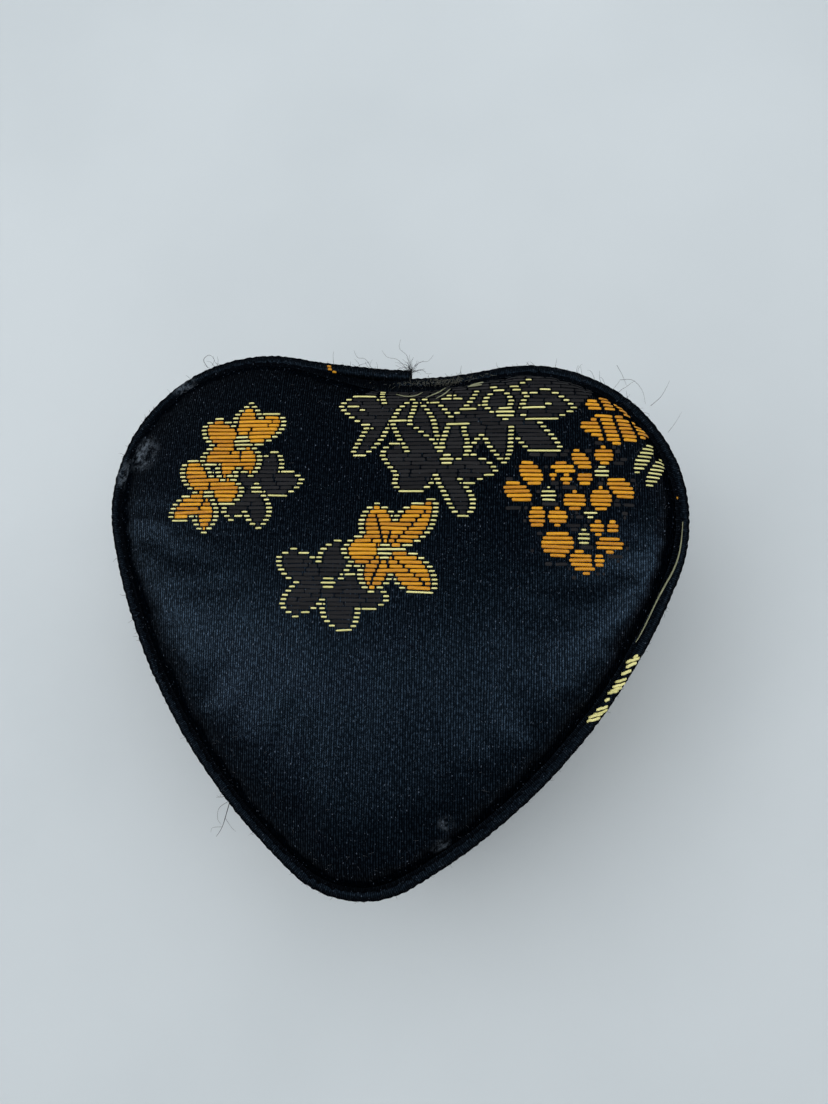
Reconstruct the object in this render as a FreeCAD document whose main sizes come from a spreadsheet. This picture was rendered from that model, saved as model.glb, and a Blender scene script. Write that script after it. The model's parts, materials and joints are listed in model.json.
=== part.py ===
"""Heart-shaped trinket box with a padded brocade lid on a cloth hinge.

The box is made of greyboard shells wrapped in fabric. Every outline is the same heart, drawn with six
tangent arcs and moved inwards by an inset. Lengths are in millimetres. X runs across the heart, Y from
the tip (front) to the cleft (back), Z up. The origin is on the underside, at the middle of the outline.
"""

import FreeCAD
import Part
import Sketcher

import math
import os

from FreeCAD import Placement, Rotation, Vector

OUT = "parts"
DOME_STEPS = 6  # hearts above the first one in each padded dome

# Driving dimensions: alias, value in mm (hinge_edge_angle in degrees), meaning
SIZES = [
    ("lobe_radius", 27.0, "radius of each round lobe, at the outer edge of the welts"),
    ("lobe_spacing", 46.0, "distance between the two lobe centres"),
    ("flank_radius", 103.0, "radius of the long side between lobe and tip"),
    ("tip_radius", 17.0, "radius of the front tip"),
    ("heart_length", 90.8, "tip to lobe backs"),
    ("cleft_depth", 3.2, "how far the cleft dips below the lobe backs"),
    ("board", 2.0, "greyboard of the top, the bottom and the base wall"),
    ("lid_wall", 1.4, "thinner greyboard of the lid wall"),
    ("card", 1.0, "card of the neck and of the glued-in panels"),
    ("brocade", 0.5, "brocade with its paper backing"),
    ("turn_in", 0.4, "brocade turned over a rim"),
    ("lining", 0.3, "satin lining"),
    ("parting", 27.0, "height of the plane where lid and base meet"),
    ("rim_gap", 0.15, "each rim's distance from the parting plane"),
    ("lid_shoulder", 38.0, "height of the top of the lid wall"),
    ("neck_rise", 4.3, "how far the lined neck stands above the parting plane"),
    ("underside", 0.6, "felt sheet under the box"),
    ("underside_inset", 3.0, "edge of the felt sheet"),
    ("welt_radius", 1.2, "outside of the covered cord"),
    ("cord_radius", 0.7, "cotton cord inside the welt"),
    ("cord_play", 0.05, "room between the cord and its cover"),
    ("flange", 0.3, "seam allowance of the welt cover"),
    ("flange_end", 7.0, "inset where the seam allowance stops"),
    ("welt_tail", 9.0, "welt end tucked past the middle of the cleft"),
    ("cover_inset", 1.6, "outside of the wall brocade"),
    ("panel_inset", 2.5, "edge of the top and bottom boards and of the padded top"),
    ("pad_edge", 0.8, "upright edge of the wadding, above the seam allowance"),
    ("pad_rise", 4.5, "how much higher the wadding is in the middle"),
    ("pad_shoulder", 11.0, "width of the band over which the wadding rises"),
    ("top_cover", 0.4, "satin brocade over the wadding"),
    ("cushion_gap", 0.2, "room between the floor cushion and the neck lining"),
    ("cushion_edge", 0.8, "upright edge of the cushion's foam, above its card"),
    ("cushion_rise", 2.5, "how much higher the foam is in the middle"),
    ("cushion_shoulder", 6.0, "width of the band over which the foam rises"),
    ("ceiling_gap", 0.1, "room between the ceiling panel and the lid lining"),
    ("mirror_inset", 12.0, "edge of the mirror"),
    ("mirror", 2.0, "mirror glass"),
    ("trim_width", 1.6, "cord trim round the mirror"),
    ("trim_gap", 0.1, "room between the trim and the glass"),
    ("hinge_cloth", 0.4, "cloth of the hinge"),
    ("hinge_above", 7.0, "hinge cloth above the parting plane"),
    ("hinge_below", 8.0, "hinge cloth below the parting plane"),
    ("hinge_edge_angle", 14.0, "how far the hinge cloth follows each lobe, in degrees"),
    ("notch_half_width", 30.0, "half the width of the gap in the raised neck, at the back"),
    ("notch_front", 30.0, "how far forward that gap starts, from the middle of the box"),
    ("lining_below", 8.0, "hinge lining glued below the parting plane"),
    ("lining_above", 9.0, "top of the hinge lining, above the parting plane"),
    ("pleat_inset", 10.0, "how far the hinge lining's slack reaches inwards"),
    ("pleat_height", 3.6, "height of that slack"),
]

doc = FreeCAD.newDocument("heart_trinket_box")
sheet = doc.addObject("Spreadsheet::Sheet", "Sizes")
for row, (alias, value, meaning) in enumerate(SIZES, start=1):
    sheet.set(f"A{row}", meaning)
    sheet.set(f"B{row}", str(value))
    sheet.setAlias(f"B{row}", alias)
doc.recompute()


def size(text):
    """An expression on the sheet; sizes are named in angle brackets: size("<board> + <card>")."""
    for alias in sorted((name for name, _, _ in SIZES), key=len, reverse=True):
        text = text.replace(f"<{alias}>", f"Sizes.{alias}")
    return f"({text})"


def value_of(expression):
    """What an expression comes to, as a plain number."""
    found = sheet.evalExpression(expression)
    return float(getattr(found, "Value", found))


# Centres and radii of the heart's arcs at no inset
LOBE_X = size("<lobe_spacing> / 2")
LOBE_Y = size("<heart_length> / 2 - <lobe_radius>")
TIP_Y = size("<heart_length> / 2 - <tip_radius>")
CLEFT_RADIUS = size(
    "((<lobe_spacing> / 2) ^ 2 + (<lobe_radius> - <cleft_depth>) ^ 2 - <lobe_radius> ^ 2)"
    " / (2 * <cleft_depth>)"
)

# Insets of the layers, from the outer edge of the welts inwards
COVER_OUT = size("<cover_inset>")
BOARD_OUT = size("<cover_inset> + <brocade>")
BASE_WALL_IN = size("<cover_inset> + <brocade> + <board>")
NECK_OUT = size("<cover_inset> + <brocade> + <board> + <lining>")
NECK_IN = size("<cover_inset> + <brocade> + <board> + <lining> + <card>")
CAVITY = size("<cover_inset> + <brocade> + <board> + 2 * <lining> + <card>")
CUSHION_OUT = size("<cover_inset> + <brocade> + <board> + 2 * <lining> + <card> + <cushion_gap>")
CUSHION_IN = size("<cover_inset> + <brocade> + <board> + 3 * <lining> + <card> + <cushion_gap>")
LID_WALL_IN = size("<cover_inset> + <brocade> + <lid_wall>")
LID_LINING_IN = size("<cover_inset> + <brocade> + <lid_wall> + <lining>")
CEILING_OUT = size("<cover_inset> + <brocade> + <lid_wall> + <lining> + <ceiling_gap>")
CEILING_IN = size("<cover_inset> + <brocade> + <lid_wall> + 2 * <lining> + <ceiling_gap>")
PAD_OUT = size("<panel_inset> + <top_cover>")
TRIM_OUT = size("<mirror_inset> - <trim_gap> - <trim_width>")
TRIM_IN = size("<mirror_inset> - <trim_gap>")

# Levels, from the underside upwards
BASE_FLANGE = size("<underside>")
BOTTOM = size("<underside> + <flange>")
FLOOR = size("<underside> + <flange> + <board>")
BASE_RIM = size("<parting> - <rim_gap>")
BASE_WALL_TOP = size("<parting> - <rim_gap> - <turn_in>")
NECK_TOP = size("<parting> + <neck_rise> - <lining>")
LID_RIM = size("<parting> + <rim_gap>")
LID_WALL_BOTTOM = size("<parting> + <rim_gap> + <turn_in>")
LID_SHOULDER = size("<lid_shoulder>")
LID_TOP = size("<lid_shoulder> + <board>")
PAD_BOTTOM = size("<lid_shoulder> + <board> + <flange>")
PAD_SHOULDER = size("<lid_shoulder> + <board> + <flange> + <pad_edge>")
FOAM_SHOULDER = size("<underside> + <flange> + <board> + <card> + <cushion_edge>")
CEILING = size("<lid_shoulder> - <card> - <lining>")
BASE_WELT = size("<underside> + <flange> + <welt_radius> - <board> / 5")
LID_WELT = size("<lid_shoulder> + <board> - <welt_radius> + <board> / 5")

NECK_ABOVE_RIM = size("<neck_rise> + <rim_gap>")

# Rectangles seen from above: half the width, front and back
BACK_BOX = (size("<notch_half_width>"), size("<notch_front>"), size("<heart_length>"))
WHOLE_BOX = (size("<heart_length>"), size("-<heart_length>"), size("<heart_length>"))


def sketch_in(body, name, plane="XY_Plane", level=None):
    """A sketch on one of the body's own origin planes, lifted to a level."""
    sketch = body.newObject("Sketcher::SketchObject", name)
    origin = next(f for f in body.Origin.OriginFeatures if f.Role == plane)
    sketch.AttachmentSupport = [(origin, "")]
    sketch.MapMode = "FlatFace"
    if level:
        sketch.setExpression("AttachmentOffset.Base.z", level)
    return sketch


def new_body(label):
    body = doc.addObject("PartDesign::Body", label)
    body.Label = label
    return body


def bind(sketch, name, kind, *args, to):
    """Adds a sized constraint and binds it to an expression."""
    number = sketch.addConstraint(Sketcher.Constraint(kind, *args, abs(value_of(to))))
    sketch.renameConstraint(number, name)
    sketch.setExpression(f"Constraints.{name}", to)


def heart_arcs(inset):
    """The six arcs at an inset, as {name: (centre x, centre y, radius, start angle, end angle)}."""
    lobe_x, lobe_y, tip_y = value_of(LOBE_X), value_of(LOBE_Y), -value_of(TIP_Y)
    lobe = value_of(size("<lobe_radius>"))
    flank = value_of(size("<flank_radius>"))
    tip = value_of(size("<tip_radius>"))
    cleft = value_of(CLEFT_RADIUS)
    # the flank's centre is flank - lobe from the lobe's centre and flank - tip from the tip's
    span = math.hypot(lobe_x, lobe_y - tip_y)
    along = ((flank - lobe) ** 2 - (flank - tip) ** 2 + span**2) / (2 * span)
    aside = math.sqrt((flank - lobe) ** 2 - along**2)
    ex, ey = -lobe_x / span, (tip_y - lobe_y) / span
    flank_x = lobe_x + along * ex + aside * ey
    flank_y = lobe_y + along * ey - aside * ex
    to_lobe = math.atan2(lobe_y - flank_y, lobe_x - flank_x)
    to_tip = math.atan2(tip_y - flank_y, -flank_x)
    cleft_y = lobe_y + math.sqrt((lobe + cleft) ** 2 - lobe_x**2)
    to_cleft = math.atan2(cleft_y - lobe_y, -lobe_x)
    half_turn = math.pi
    return {
        "tip": (0, tip_y, tip - inset, -half_turn - to_tip, to_tip),
        "right_flank": (flank_x, flank_y, flank - inset, to_tip, to_lobe),
        "right_lobe": (lobe_x, lobe_y, lobe - inset, to_lobe, to_cleft),
        "cleft": (0, cleft_y, cleft + inset, -to_cleft, to_cleft - half_turn),
        "left_lobe": (-lobe_x, lobe_y, lobe - inset, half_turn - to_cleft, half_turn - to_lobe),
        "left_flank": (-flank_x, flank_y, flank - inset, half_turn - to_lobe, half_turn - to_tip),
    }


def add_arc(sketch, centre_x, centre_y, radius, start, end):
    circle = Part.Circle(Vector(centre_x, centre_y, 0), Vector(0, 0, 1), radius)
    if end < start:
        end += 2 * math.pi
    return sketch.addGeometry(Part.ArcOfCircle(circle, start, end), False)


START, END, CENTRE = 1, 2, 3  # point positions on a sketch arc
ORIGIN = (-1, 1)
Y_AXIS = -2


def size_arcs(sketch, arcs, inset, prefix):
    """Holds lobes, flanks and tip at their centres and radii, less the inset."""
    for side in ("right", "left"):
        lobe, flank = arcs[f"{side}_lobe"], arcs[f"{side}_flank"]
        ends = (*ORIGIN, lobe, CENTRE) if side == "right" else (lobe, CENTRE, *ORIGIN)
        bind(sketch, f"{prefix}_{side}_lobe_out", "DistanceX", *ends, to=LOBE_X)
        bind(sketch, f"{prefix}_{side}_lobe_back", "DistanceY", *ORIGIN, lobe, CENTRE, to=LOBE_Y)
        bind(sketch, f"{prefix}_{side}_lobe_radius", "Radius", lobe, to=size(f"<lobe_radius> - {inset}"))
        bind(sketch, f"{prefix}_{side}_flank_radius", "Radius", flank, to=size(f"<flank_radius> - {inset}"))
    sketch.addConstraint(Sketcher.Constraint("PointOnObject", arcs["tip"], CENTRE, Y_AXIS))
    bind(sketch, f"{prefix}_tip_front", "DistanceY", arcs["tip"], CENTRE, *ORIGIN, to=TIP_Y)
    bind(sketch, f"{prefix}_tip_radius", "Radius", arcs["tip"], to=size(f"<tip_radius> - {inset}"))
    bind(sketch, f"{prefix}_cleft_radius", "Radius", arcs["cleft"], to=size(f"{CLEFT_RADIUS} + {inset}"))


def join_arcs(sketch, joins):
    for first, first_end, second, second_end in joins:
        sketch.addConstraint(Sketcher.Constraint("Tangent", first, first_end, second, second_end))


def draw_heart(sketch, inset, prefix):
    """A closed heart outline moved inwards by an inset, fully constrained."""
    arcs = {name: add_arc(sketch, *arc) for name, arc in heart_arcs(value_of(inset)).items()}
    join_arcs(
        sketch,
        [
            (arcs["tip"], END, arcs["right_flank"], START),
            (arcs["right_flank"], END, arcs["right_lobe"], START),
            (arcs["right_lobe"], END, arcs["cleft"], END),
            (arcs["cleft"], START, arcs["left_lobe"], START),
            (arcs["left_lobe"], END, arcs["left_flank"], START),
            (arcs["left_flank"], END, arcs["tip"], START),
        ],
    )
    size_arcs(sketch, arcs, inset, prefix)


def pad(body, name, level, height, outer, inner=None):
    """A heart-shaped plate, or a heart-shaped ring when there is an inner inset."""
    sketch = sketch_in(body, f"{name}_outline", level=level)
    draw_heart(sketch, outer, "outer")
    if inner:
        draw_heart(sketch, inner, "inner")
    feature = body.newObject("PartDesign::Pad", name)
    feature.Profile = sketch
    feature.setExpression("Length", height)
    return feature


def pocket(body, name, level, depth, outline):
    """Cuts a heart-shaped recess down from a level."""
    sketch = sketch_in(body, f"{name}_outline", level=level)
    draw_heart(sketch, outline, "recess")
    doc.recompute()
    before = body.Shape.Volume
    feature = body.newObject("PartDesign::Pocket", name)
    feature.Profile = sketch
    feature.setExpression("Length", depth)
    doc.recompute()
    if not body.Shape.Volume < before:
        raise RuntimeError(f"{body.Label}: the recess {name} cut nothing")
    return feature


def dome(body, name, level, outline, rise, shoulder, kind="PartDesign::AdditiveLoft"):
    """A heart-shaped mound with a flat middle: hearts lofted up a quarter of an ellipse."""
    sections = []
    for step in range(DOME_STEPS + 1):
        angle = step * 90 / DOME_STEPS
        inset = size(f"{outline} + {shoulder} * (1 - cos({angle} * 1 deg))")
        height = size(f"{level} + {rise} * sin({angle} * 1 deg)")
        sketch = sketch_in(body, f"{name}_section_{step}", level=height)
        draw_heart(sketch, inset, f"section_{step}")
        sections.append(sketch)
    doc.recompute()
    loft = body.newObject(kind, name)
    loft.Profile = sections[0]
    loft.Sections = sections[1:]
    loft.Ruled = True
    return loft


def hollow(body, name, level, outline, rise, shoulder):
    """Removes a mound of the same kind, and stops if nothing was removed."""
    doc.recompute()
    before = body.Shape.Volume
    dome(body, name, level, outline, rise, shoulder, kind="PartDesign::SubtractiveLoft")
    doc.recompute()
    if not body.Shape.Volume < before:
        raise RuntimeError(f"{body.Label}: the hollow {name} removed nothing")


def draw_box(sketch, name, half_width, front, back):
    """A rectangle centred on the Y axis, from front to back."""
    wide, low, high = value_of(half_width), value_of(front), value_of(back)
    corners = [Vector(-wide, low, 0), Vector(wide, low, 0), Vector(wide, high, 0), Vector(-wide, high, 0)]
    sides = []
    for number, corner in enumerate(corners):
        side = Part.LineSegment(corner, corners[(number + 1) % 4])
        sides.append(sketch.addGeometry(side, False))
    for number, side in enumerate(sides):
        sketch.addConstraint(Sketcher.Constraint("Coincident", side, END, sides[(number + 1) % 4], START))
        sketch.addConstraint(Sketcher.Constraint("Vertical" if number % 2 else "Horizontal", side))
    bind(sketch, f"{name}_left", "DistanceX", sides[0], START, *ORIGIN, to=half_width)
    bind(sketch, f"{name}_right", "DistanceX", *ORIGIN, sides[0], END, to=half_width)
    if low > 0:
        bind(sketch, f"{name}_front", "DistanceY", *ORIGIN, sides[0], START, to=front)
    else:
        bind(sketch, f"{name}_front", "DistanceY", sides[0], START, *ORIGIN, to=f"(-{front})")
    bind(sketch, f"{name}_back", "DistanceY", *ORIGIN, sides[2], END, to=back)


def cut_down(body, name, level, depth, boxes):
    """Cuts the region between the boxes down from a level: one box, or a frame when there are two."""
    sketch = sketch_in(body, f"{name}_outline", level=level)
    for number, (half_width, front, back) in enumerate(boxes):
        draw_box(sketch, f"box_{number}", half_width, front, back)
    doc.recompute()
    before = body.Shape.Volume
    feature = body.newObject("PartDesign::Pocket", name)
    feature.Profile = sketch
    feature.setExpression("Length", depth)
    doc.recompute()
    if not body.Shape.Volume < before:
        raise RuntimeError(f"{body.Label}: the cut {name} removed nothing")


def notch_neck(body):
    """Lowers the raised neck to the base's rim across the back, to leave room for the hinge lining."""
    cut_down(body, f"{body.Label}_notch", size(f"{NECK_TOP} + <lining>"), NECK_ABOVE_RIM, [BACK_BOX])


def plate(label, level, height, outer):
    body = new_body(label)
    pad(body, f"{label}_plate", level, height, outer)
    return body


def ring(label, level, height, outer, inner):
    body = new_body(label)
    pad(body, f"{label}_ring", level, height, outer, inner)
    return body


def draw_welt_path(sketch, inset, tail):
    """The welt's centre line: from the middle of the cleft straight to the left lobe's back, round the
    whole heart, and along the cleft until the tail is tucked past the middle."""
    shapes = heart_arcs(value_of(inset))
    back = value_of(LOBE_Y) + shapes["left_lobe"][2]
    lobe_x = value_of(LOBE_X)
    bridge = sketch.addGeometry(Part.LineSegment(Vector(0, back, 0), Vector(-lobe_x, back, 0)), False)
    left_lobe = list(shapes["left_lobe"])
    left_lobe[3] = math.pi / 2
    cleft = list(shapes["cleft"])
    cleft[3] = -math.pi / 2 - math.asin(value_of(tail) / cleft[2])
    shapes["left_lobe"], shapes["cleft"] = left_lobe, cleft
    order = ["left_lobe", "left_flank", "tip", "right_flank", "right_lobe", "cleft"]
    arcs = {name: add_arc(sketch, *shapes[name]) for name in order}
    join_arcs(
        sketch,
        [
            (bridge, END, arcs["left_lobe"], START),
            (arcs["left_lobe"], END, arcs["left_flank"], START),
            (arcs["left_flank"], END, arcs["tip"], START),
            (arcs["tip"], END, arcs["right_flank"], START),
            (arcs["right_flank"], END, arcs["right_lobe"], START),
            (arcs["right_lobe"], END, arcs["cleft"], END),
        ],
    )
    size_arcs(sketch, arcs, inset, "path")
    sketch.addConstraint(Sketcher.Constraint("PointOnObject", arcs["cleft"], CENTRE, Y_AXIS))
    sketch.addConstraint(Sketcher.Constraint("PointOnObject", bridge, START, Y_AXIS))
    sketch.addConstraint(Sketcher.Constraint("Horizontal", bridge))
    bind(sketch, "path_tail", "DistanceX", arcs["cleft"], START, *ORIGIN, to=tail)


def pipe(body, name, level, radii):
    """Sweeps one circle, or a ring of two, along the welt's path at a level."""
    inset = size("<welt_radius>")
    spine = sketch_in(body, f"{name}_path", level=level)
    draw_welt_path(spine, inset, size("<welt_tail>"))
    profile = sketch_in(body, f"{name}_profile", plane="YZ_Plane")
    back = size(f"<heart_length> / 2 - {inset}")
    for number, radius in enumerate(radii):
        middle = Vector(value_of(back), value_of(level), 0)
        circle = profile.addGeometry(Part.Circle(middle, Vector(0, 0, 1), value_of(radius)), False)
        bind(profile, f"across_{number}", "DistanceX", *ORIGIN, circle, CENTRE, to=back)
        bind(profile, f"up_{number}", "DistanceY", *ORIGIN, circle, CENTRE, to=level)
        bind(profile, f"radius_{number}", "Radius", circle, to=radius)
    feature = body.newObject("PartDesign::AdditivePipe", name)
    feature.Profile = profile
    feature.Spine = spine
    feature.Mode = "Standard"
    return feature


def welt(prefix, level, flange_level):
    """A covered cord with its seam allowance: the cord and the cover are separate pieces."""
    cord = new_body(f"{prefix}_welt_cord")
    pipe(cord, f"{prefix}_cord", level, [size("<cord_radius>")])
    cover = new_body(f"{prefix}_welt_cover")
    pipe(cover, f"{prefix}_tube", level, [size("<welt_radius>"), size("<cord_radius> + <cord_play>")])
    flange_out = size("<welt_radius> + <cord_play>")
    pad(cover, f"{prefix}_flange", flange_level, size("<flange>"), flange_out, size("<flange_end>"))
    return cord, cover


def underside_felt():
    return plate("underside_felt", size("0"), size("<underside>"), size("<underside_inset>"))


def bottom_board():
    return plate("bottom_board", BOTTOM, size("<board>"), size("<panel_inset>"))


def base_wall_board():
    return ring("base_wall_board", FLOOR, size(f"{BASE_WALL_TOP} - {FLOOR}"), BOARD_OUT, BASE_WALL_IN)


def base_wall_cover():
    """Brocade round the wall, turned in over the rim."""
    body = ring("base_wall_cover", FLOOR, size(f"{BASE_RIM} - {FLOOR}"), COVER_OUT, BOARD_OUT)
    pad(body, "base_turn_in", BASE_WALL_TOP, size("<turn_in>"), COVER_OUT, BASE_WALL_IN)
    return body


def neck_board():
    body = ring("neck_board", FLOOR, size(f"{NECK_TOP} - {FLOOR}"), NECK_OUT, NECK_IN)
    notch_neck(body)
    return body


def neck_lining():
    """Satin up the inside of the neck, over its edge and down between neck and wall."""
    body = ring("neck_lining", FLOOR, size(f"{NECK_TOP} - {FLOOR}"), BASE_WALL_IN, NECK_OUT)
    pad(body, "neck_lining_inside", FLOOR, size(f"{NECK_TOP} - {FLOOR}"), NECK_IN, CAVITY)
    pad(body, "neck_lining_cap", NECK_TOP, size("<lining>"), BASE_WALL_IN, CAVITY)
    notch_neck(body)
    return body


def floor_card():
    return plate("floor_card", FLOOR, size("<card>"), CUSHION_IN)


def floor_foam():
    """Foam of the floor cushion, higher in the middle."""
    body = new_body("floor_foam")
    pad(body, "foam_edge", size(f"{FLOOR} + <card>"), size("<cushion_edge>"), CUSHION_IN)
    dome(body, "foam_dome", FOAM_SHOULDER, CUSHION_IN, size("<cushion_rise>"), size("<cushion_shoulder>"))
    return body


def floor_satin():
    """Satin skin over foam and card, open underneath."""
    body = new_body("floor_satin")
    edge, rise, shoulder = size("<card> + <cushion_edge>"), size("<cushion_rise>"), size("<cushion_shoulder>")
    pad(body, "satin_edge", FLOOR, size(f"{edge} + <lining>"), CUSHION_OUT)
    dome(body, "satin_dome", size(f"{FOAM_SHOULDER} + <lining>"), CUSHION_OUT, rise, shoulder)
    pocket(body, "satin_hollow", FOAM_SHOULDER, edge, CUSHION_IN)
    hollow(body, "satin_hollow_dome", FOAM_SHOULDER, CUSHION_IN, rise, shoulder)
    return body


def lid_wall_board():
    height = size(f"{LID_SHOULDER} - {LID_WALL_BOTTOM}")
    return ring("lid_wall_board", LID_WALL_BOTTOM, height, BOARD_OUT, LID_WALL_IN)


def lid_wall_cover():
    body = ring("lid_wall_cover", LID_RIM, size(f"{LID_SHOULDER} - {LID_RIM}"), COVER_OUT, BOARD_OUT)
    pad(body, "lid_turn_in", LID_RIM, size("<turn_in>"), COVER_OUT, LID_WALL_IN)
    return body


def lid_wall_lining():
    height = size(f"{LID_SHOULDER} - {LID_RIM}")
    return ring("lid_wall_lining", LID_RIM, height, LID_WALL_IN, LID_LINING_IN)


def lid_top_board():
    return plate("lid_top_board", LID_SHOULDER, size("<board>"), size("<panel_inset>"))


def lid_wadding():
    body = new_body("lid_wadding")
    pad(body, "wadding_edge", PAD_BOTTOM, size("<pad_edge>"), PAD_OUT)
    dome(body, "wadding_dome", PAD_SHOULDER, PAD_OUT, size("<pad_rise>"), size("<pad_shoulder>"))
    return body


def lid_top_cover():
    """Satin brocade over the wadding, open underneath."""
    body = new_body("lid_top_cover")
    outline, rise, shoulder = size("<panel_inset>"), size("<pad_rise>"), size("<pad_shoulder>")
    pad(body, "cover_edge", PAD_BOTTOM, size("<pad_edge> + <top_cover>"), outline)
    dome(body, "cover_dome", size(f"{PAD_SHOULDER} + <top_cover>"), outline, rise, shoulder)
    pocket(body, "cover_hollow", PAD_SHOULDER, size("<pad_edge>"), PAD_OUT)
    hollow(body, "cover_hollow_dome", PAD_SHOULDER, PAD_OUT, rise, shoulder)
    return body


def ceiling_card():
    return plate("ceiling_card", size(f"{CEILING} + <lining>"), size("<card>"), CEILING_IN)


def ceiling_satin():
    """Satin under the ceiling card and up round its edge."""
    body = new_body("ceiling_satin")
    pad(body, "ceiling_block", CEILING, size("<card> + <lining>"), CEILING_OUT)
    pocket(body, "ceiling_recess", LID_SHOULDER, size("<card>"), CEILING_IN)
    return body


def lid_mirror():
    return plate("lid_mirror", size(f"{CEILING} - <mirror>"), size("<mirror>"), size("<mirror_inset>"))


def mirror_trim():
    return ring("mirror_trim", size(f"{CEILING} - <mirror>"), size("<mirror>"), TRIM_OUT, TRIM_IN)


def hinge_cloth():
    """A strip glued to both lobe backs that bridges the cleft, above and below the parting plane."""
    body = new_body("hinge_cloth")
    sketch = sketch_in(body, "hinge_outline", level=size("<parting> - <hinge_below>"))
    inner = size("<lobe_radius> - <cover_inset>")
    outer = size("<lobe_radius> - <cover_inset> + <hinge_cloth>")
    lobe_x, lobe_y = value_of(LOBE_X), value_of(LOBE_Y)
    slope = math.radians(value_of(size("<hinge_edge_angle>")))
    top = math.pi / 2
    arcs, bridges = {}, []
    for name, radius in (("inner", inner), ("outer", outer)):
        reach = value_of(radius)
        arcs[f"right_{name}"] = add_arc(sketch, lobe_x, lobe_y, reach, top - slope, top)
        arcs[f"left_{name}"] = add_arc(sketch, -lobe_x, lobe_y, reach, top, top + slope)
        left_end, right_end = Vector(-lobe_x, lobe_y + reach, 0), Vector(lobe_x, lobe_y + reach, 0)
        bridges.append(sketch.addGeometry(Part.LineSegment(left_end, right_end), False))
        join_arcs(
            sketch,
            [
                (arcs[f"right_{name}"], END, bridges[-1], END),
                (arcs[f"left_{name}"], START, bridges[-1], START),
            ],
        )
        bind(sketch, f"{name}_radius", "Radius", arcs[f"right_{name}"], to=radius)
        bind(sketch, f"{name}_left_radius", "Radius", arcs[f"left_{name}"], to=radius)
        bind(sketch, f"{name}_right_out", "DistanceX", *ORIGIN, arcs[f"right_{name}"], CENTRE, to=LOBE_X)
        bind(sketch, f"{name}_left_out", "DistanceX", arcs[f"left_{name}"], CENTRE, *ORIGIN, to=LOBE_X)
        bind(sketch, f"{name}_right_back", "DistanceY", *ORIGIN, arcs[f"right_{name}"], CENTRE, to=LOBE_Y)
    for side, end, sign in (("right", START, 1), ("left", END, -1)):
        points = []
        for name, radius in (("inner", inner), ("outer", outer)):
            reach = value_of(radius)
            across = sign * (lobe_x + reach * math.sin(slope))
            points.append(Vector(across, lobe_y + reach * math.cos(slope), 0))
        edge = sketch.addGeometry(Part.LineSegment(*points), False)
        sketch.addConstraint(Sketcher.Constraint("Coincident", edge, START, arcs[f"{side}_inner"], end))
        sketch.addConstraint(Sketcher.Constraint("Coincident", edge, END, arcs[f"{side}_outer"], end))
        reach_out = size("<lobe_spacing> / 2 + <lobe_radius> * sin(<hinge_edge_angle> * 1 deg)")
        ends = (*ORIGIN, edge, END) if side == "right" else (edge, END, *ORIGIN)
        bind(sketch, f"{side}_edge_out", "DistanceX", *ends, to=reach_out)
        sketch.addConstraint(Sketcher.Constraint("Perpendicular", edge, arcs[f"{side}_outer"]))
    strip = body.newObject("PartDesign::Pad", "hinge_strip")
    strip.Profile = sketch
    strip.setExpression("Length", size("<hinge_above> + <hinge_below>"))
    return body


def hinge_lining():
    """Satin inside the back, from the neck up to the lid. A pleat holds the slack the open lid takes up."""
    body = new_body("hinge_lining")
    pleat_in = size("<pleat_inset> + <lining>")
    neck_in = size(f"{CAVITY} + <lining>")
    lid_in = size(f"{LID_LINING_IN} + <lining>")
    pleat_top = size("<parting> + <pleat_height>")
    rows = [
        ("below", size("<parting> - <lining_below>"), size("<lining_below>"), CAVITY, neck_in),
        ("pleat_under", size("<parting>"), size("<lining>"), CAVITY, pleat_in),
        ("pleat_front", size("<parting>"), size("<pleat_height>"), size("<pleat_inset>"), pleat_in),
        ("pleat_over", pleat_top, size("<lining>"), LID_LINING_IN, pleat_in),
        ("above", pleat_top, size("<lining_above> - <pleat_height>"), LID_LINING_IN, lid_in),
    ]
    for name, level, height, outer, inner in rows:
        pad(body, f"lining_{name}", level, height, outer, inner)
    drop = size("<lining_below> + <lining_above>")
    keep_box = (size("<notch_half_width> - 1"), size("<notch_front> + 1"), size("<heart_length> - 1"))
    cut_down(body, "keep_back", size("<parting> + <lining_above>"), drop, [WHOLE_BOX, keep_box])
    return body


def build():
    base_cord, base_cover = welt("base", BASE_WELT, BASE_FLANGE)
    lid_cord, lid_cover = welt("lid", LID_WELT, LID_TOP)
    return [
        underside_felt(),
        bottom_board(),
        base_wall_board(),
        base_wall_cover(),
        base_cord,
        base_cover,
        neck_board(),
        neck_lining(),
        floor_card(),
        floor_foam(),
        floor_satin(),
        hinge_cloth(),
        hinge_lining(),
        lid_wall_board(),
        lid_wall_cover(),
        lid_wall_lining(),
        lid_top_board(),
        lid_cord,
        lid_cover,
        lid_wadding(),
        lid_top_cover(),
        ceiling_card(),
        ceiling_satin(),
        lid_mirror(),
        mirror_trim(),
    ]


def check(bodies):
    """Stops if any object failed to recompute or any sub-part isn't one sound solid."""
    failed = [o.Name for o in doc.Objects if {"Invalid", "Error"} & set(o.State)]
    if failed:
        raise RuntimeError(f"these objects failed: {failed}")
    for body in bodies:
        shape = body.Shape
        if shape.isNull() or not shape.isValid() or shape.Volume <= 0 or len(shape.Solids) != 1:
            raise RuntimeError(f"{body.Label} is not one sound solid")


sub_parts = build()
for sub_part in sub_parts:
    sub_part.Placement = Placement(Vector(0, 0, 0), Rotation())
doc.recompute()
check(sub_parts)
os.makedirs(OUT, exist_ok=True)
for sub_part in sub_parts:
    sub_part.Shape.exportStep(os.path.join(OUT, f"{sub_part.Label}.step"))
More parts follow.
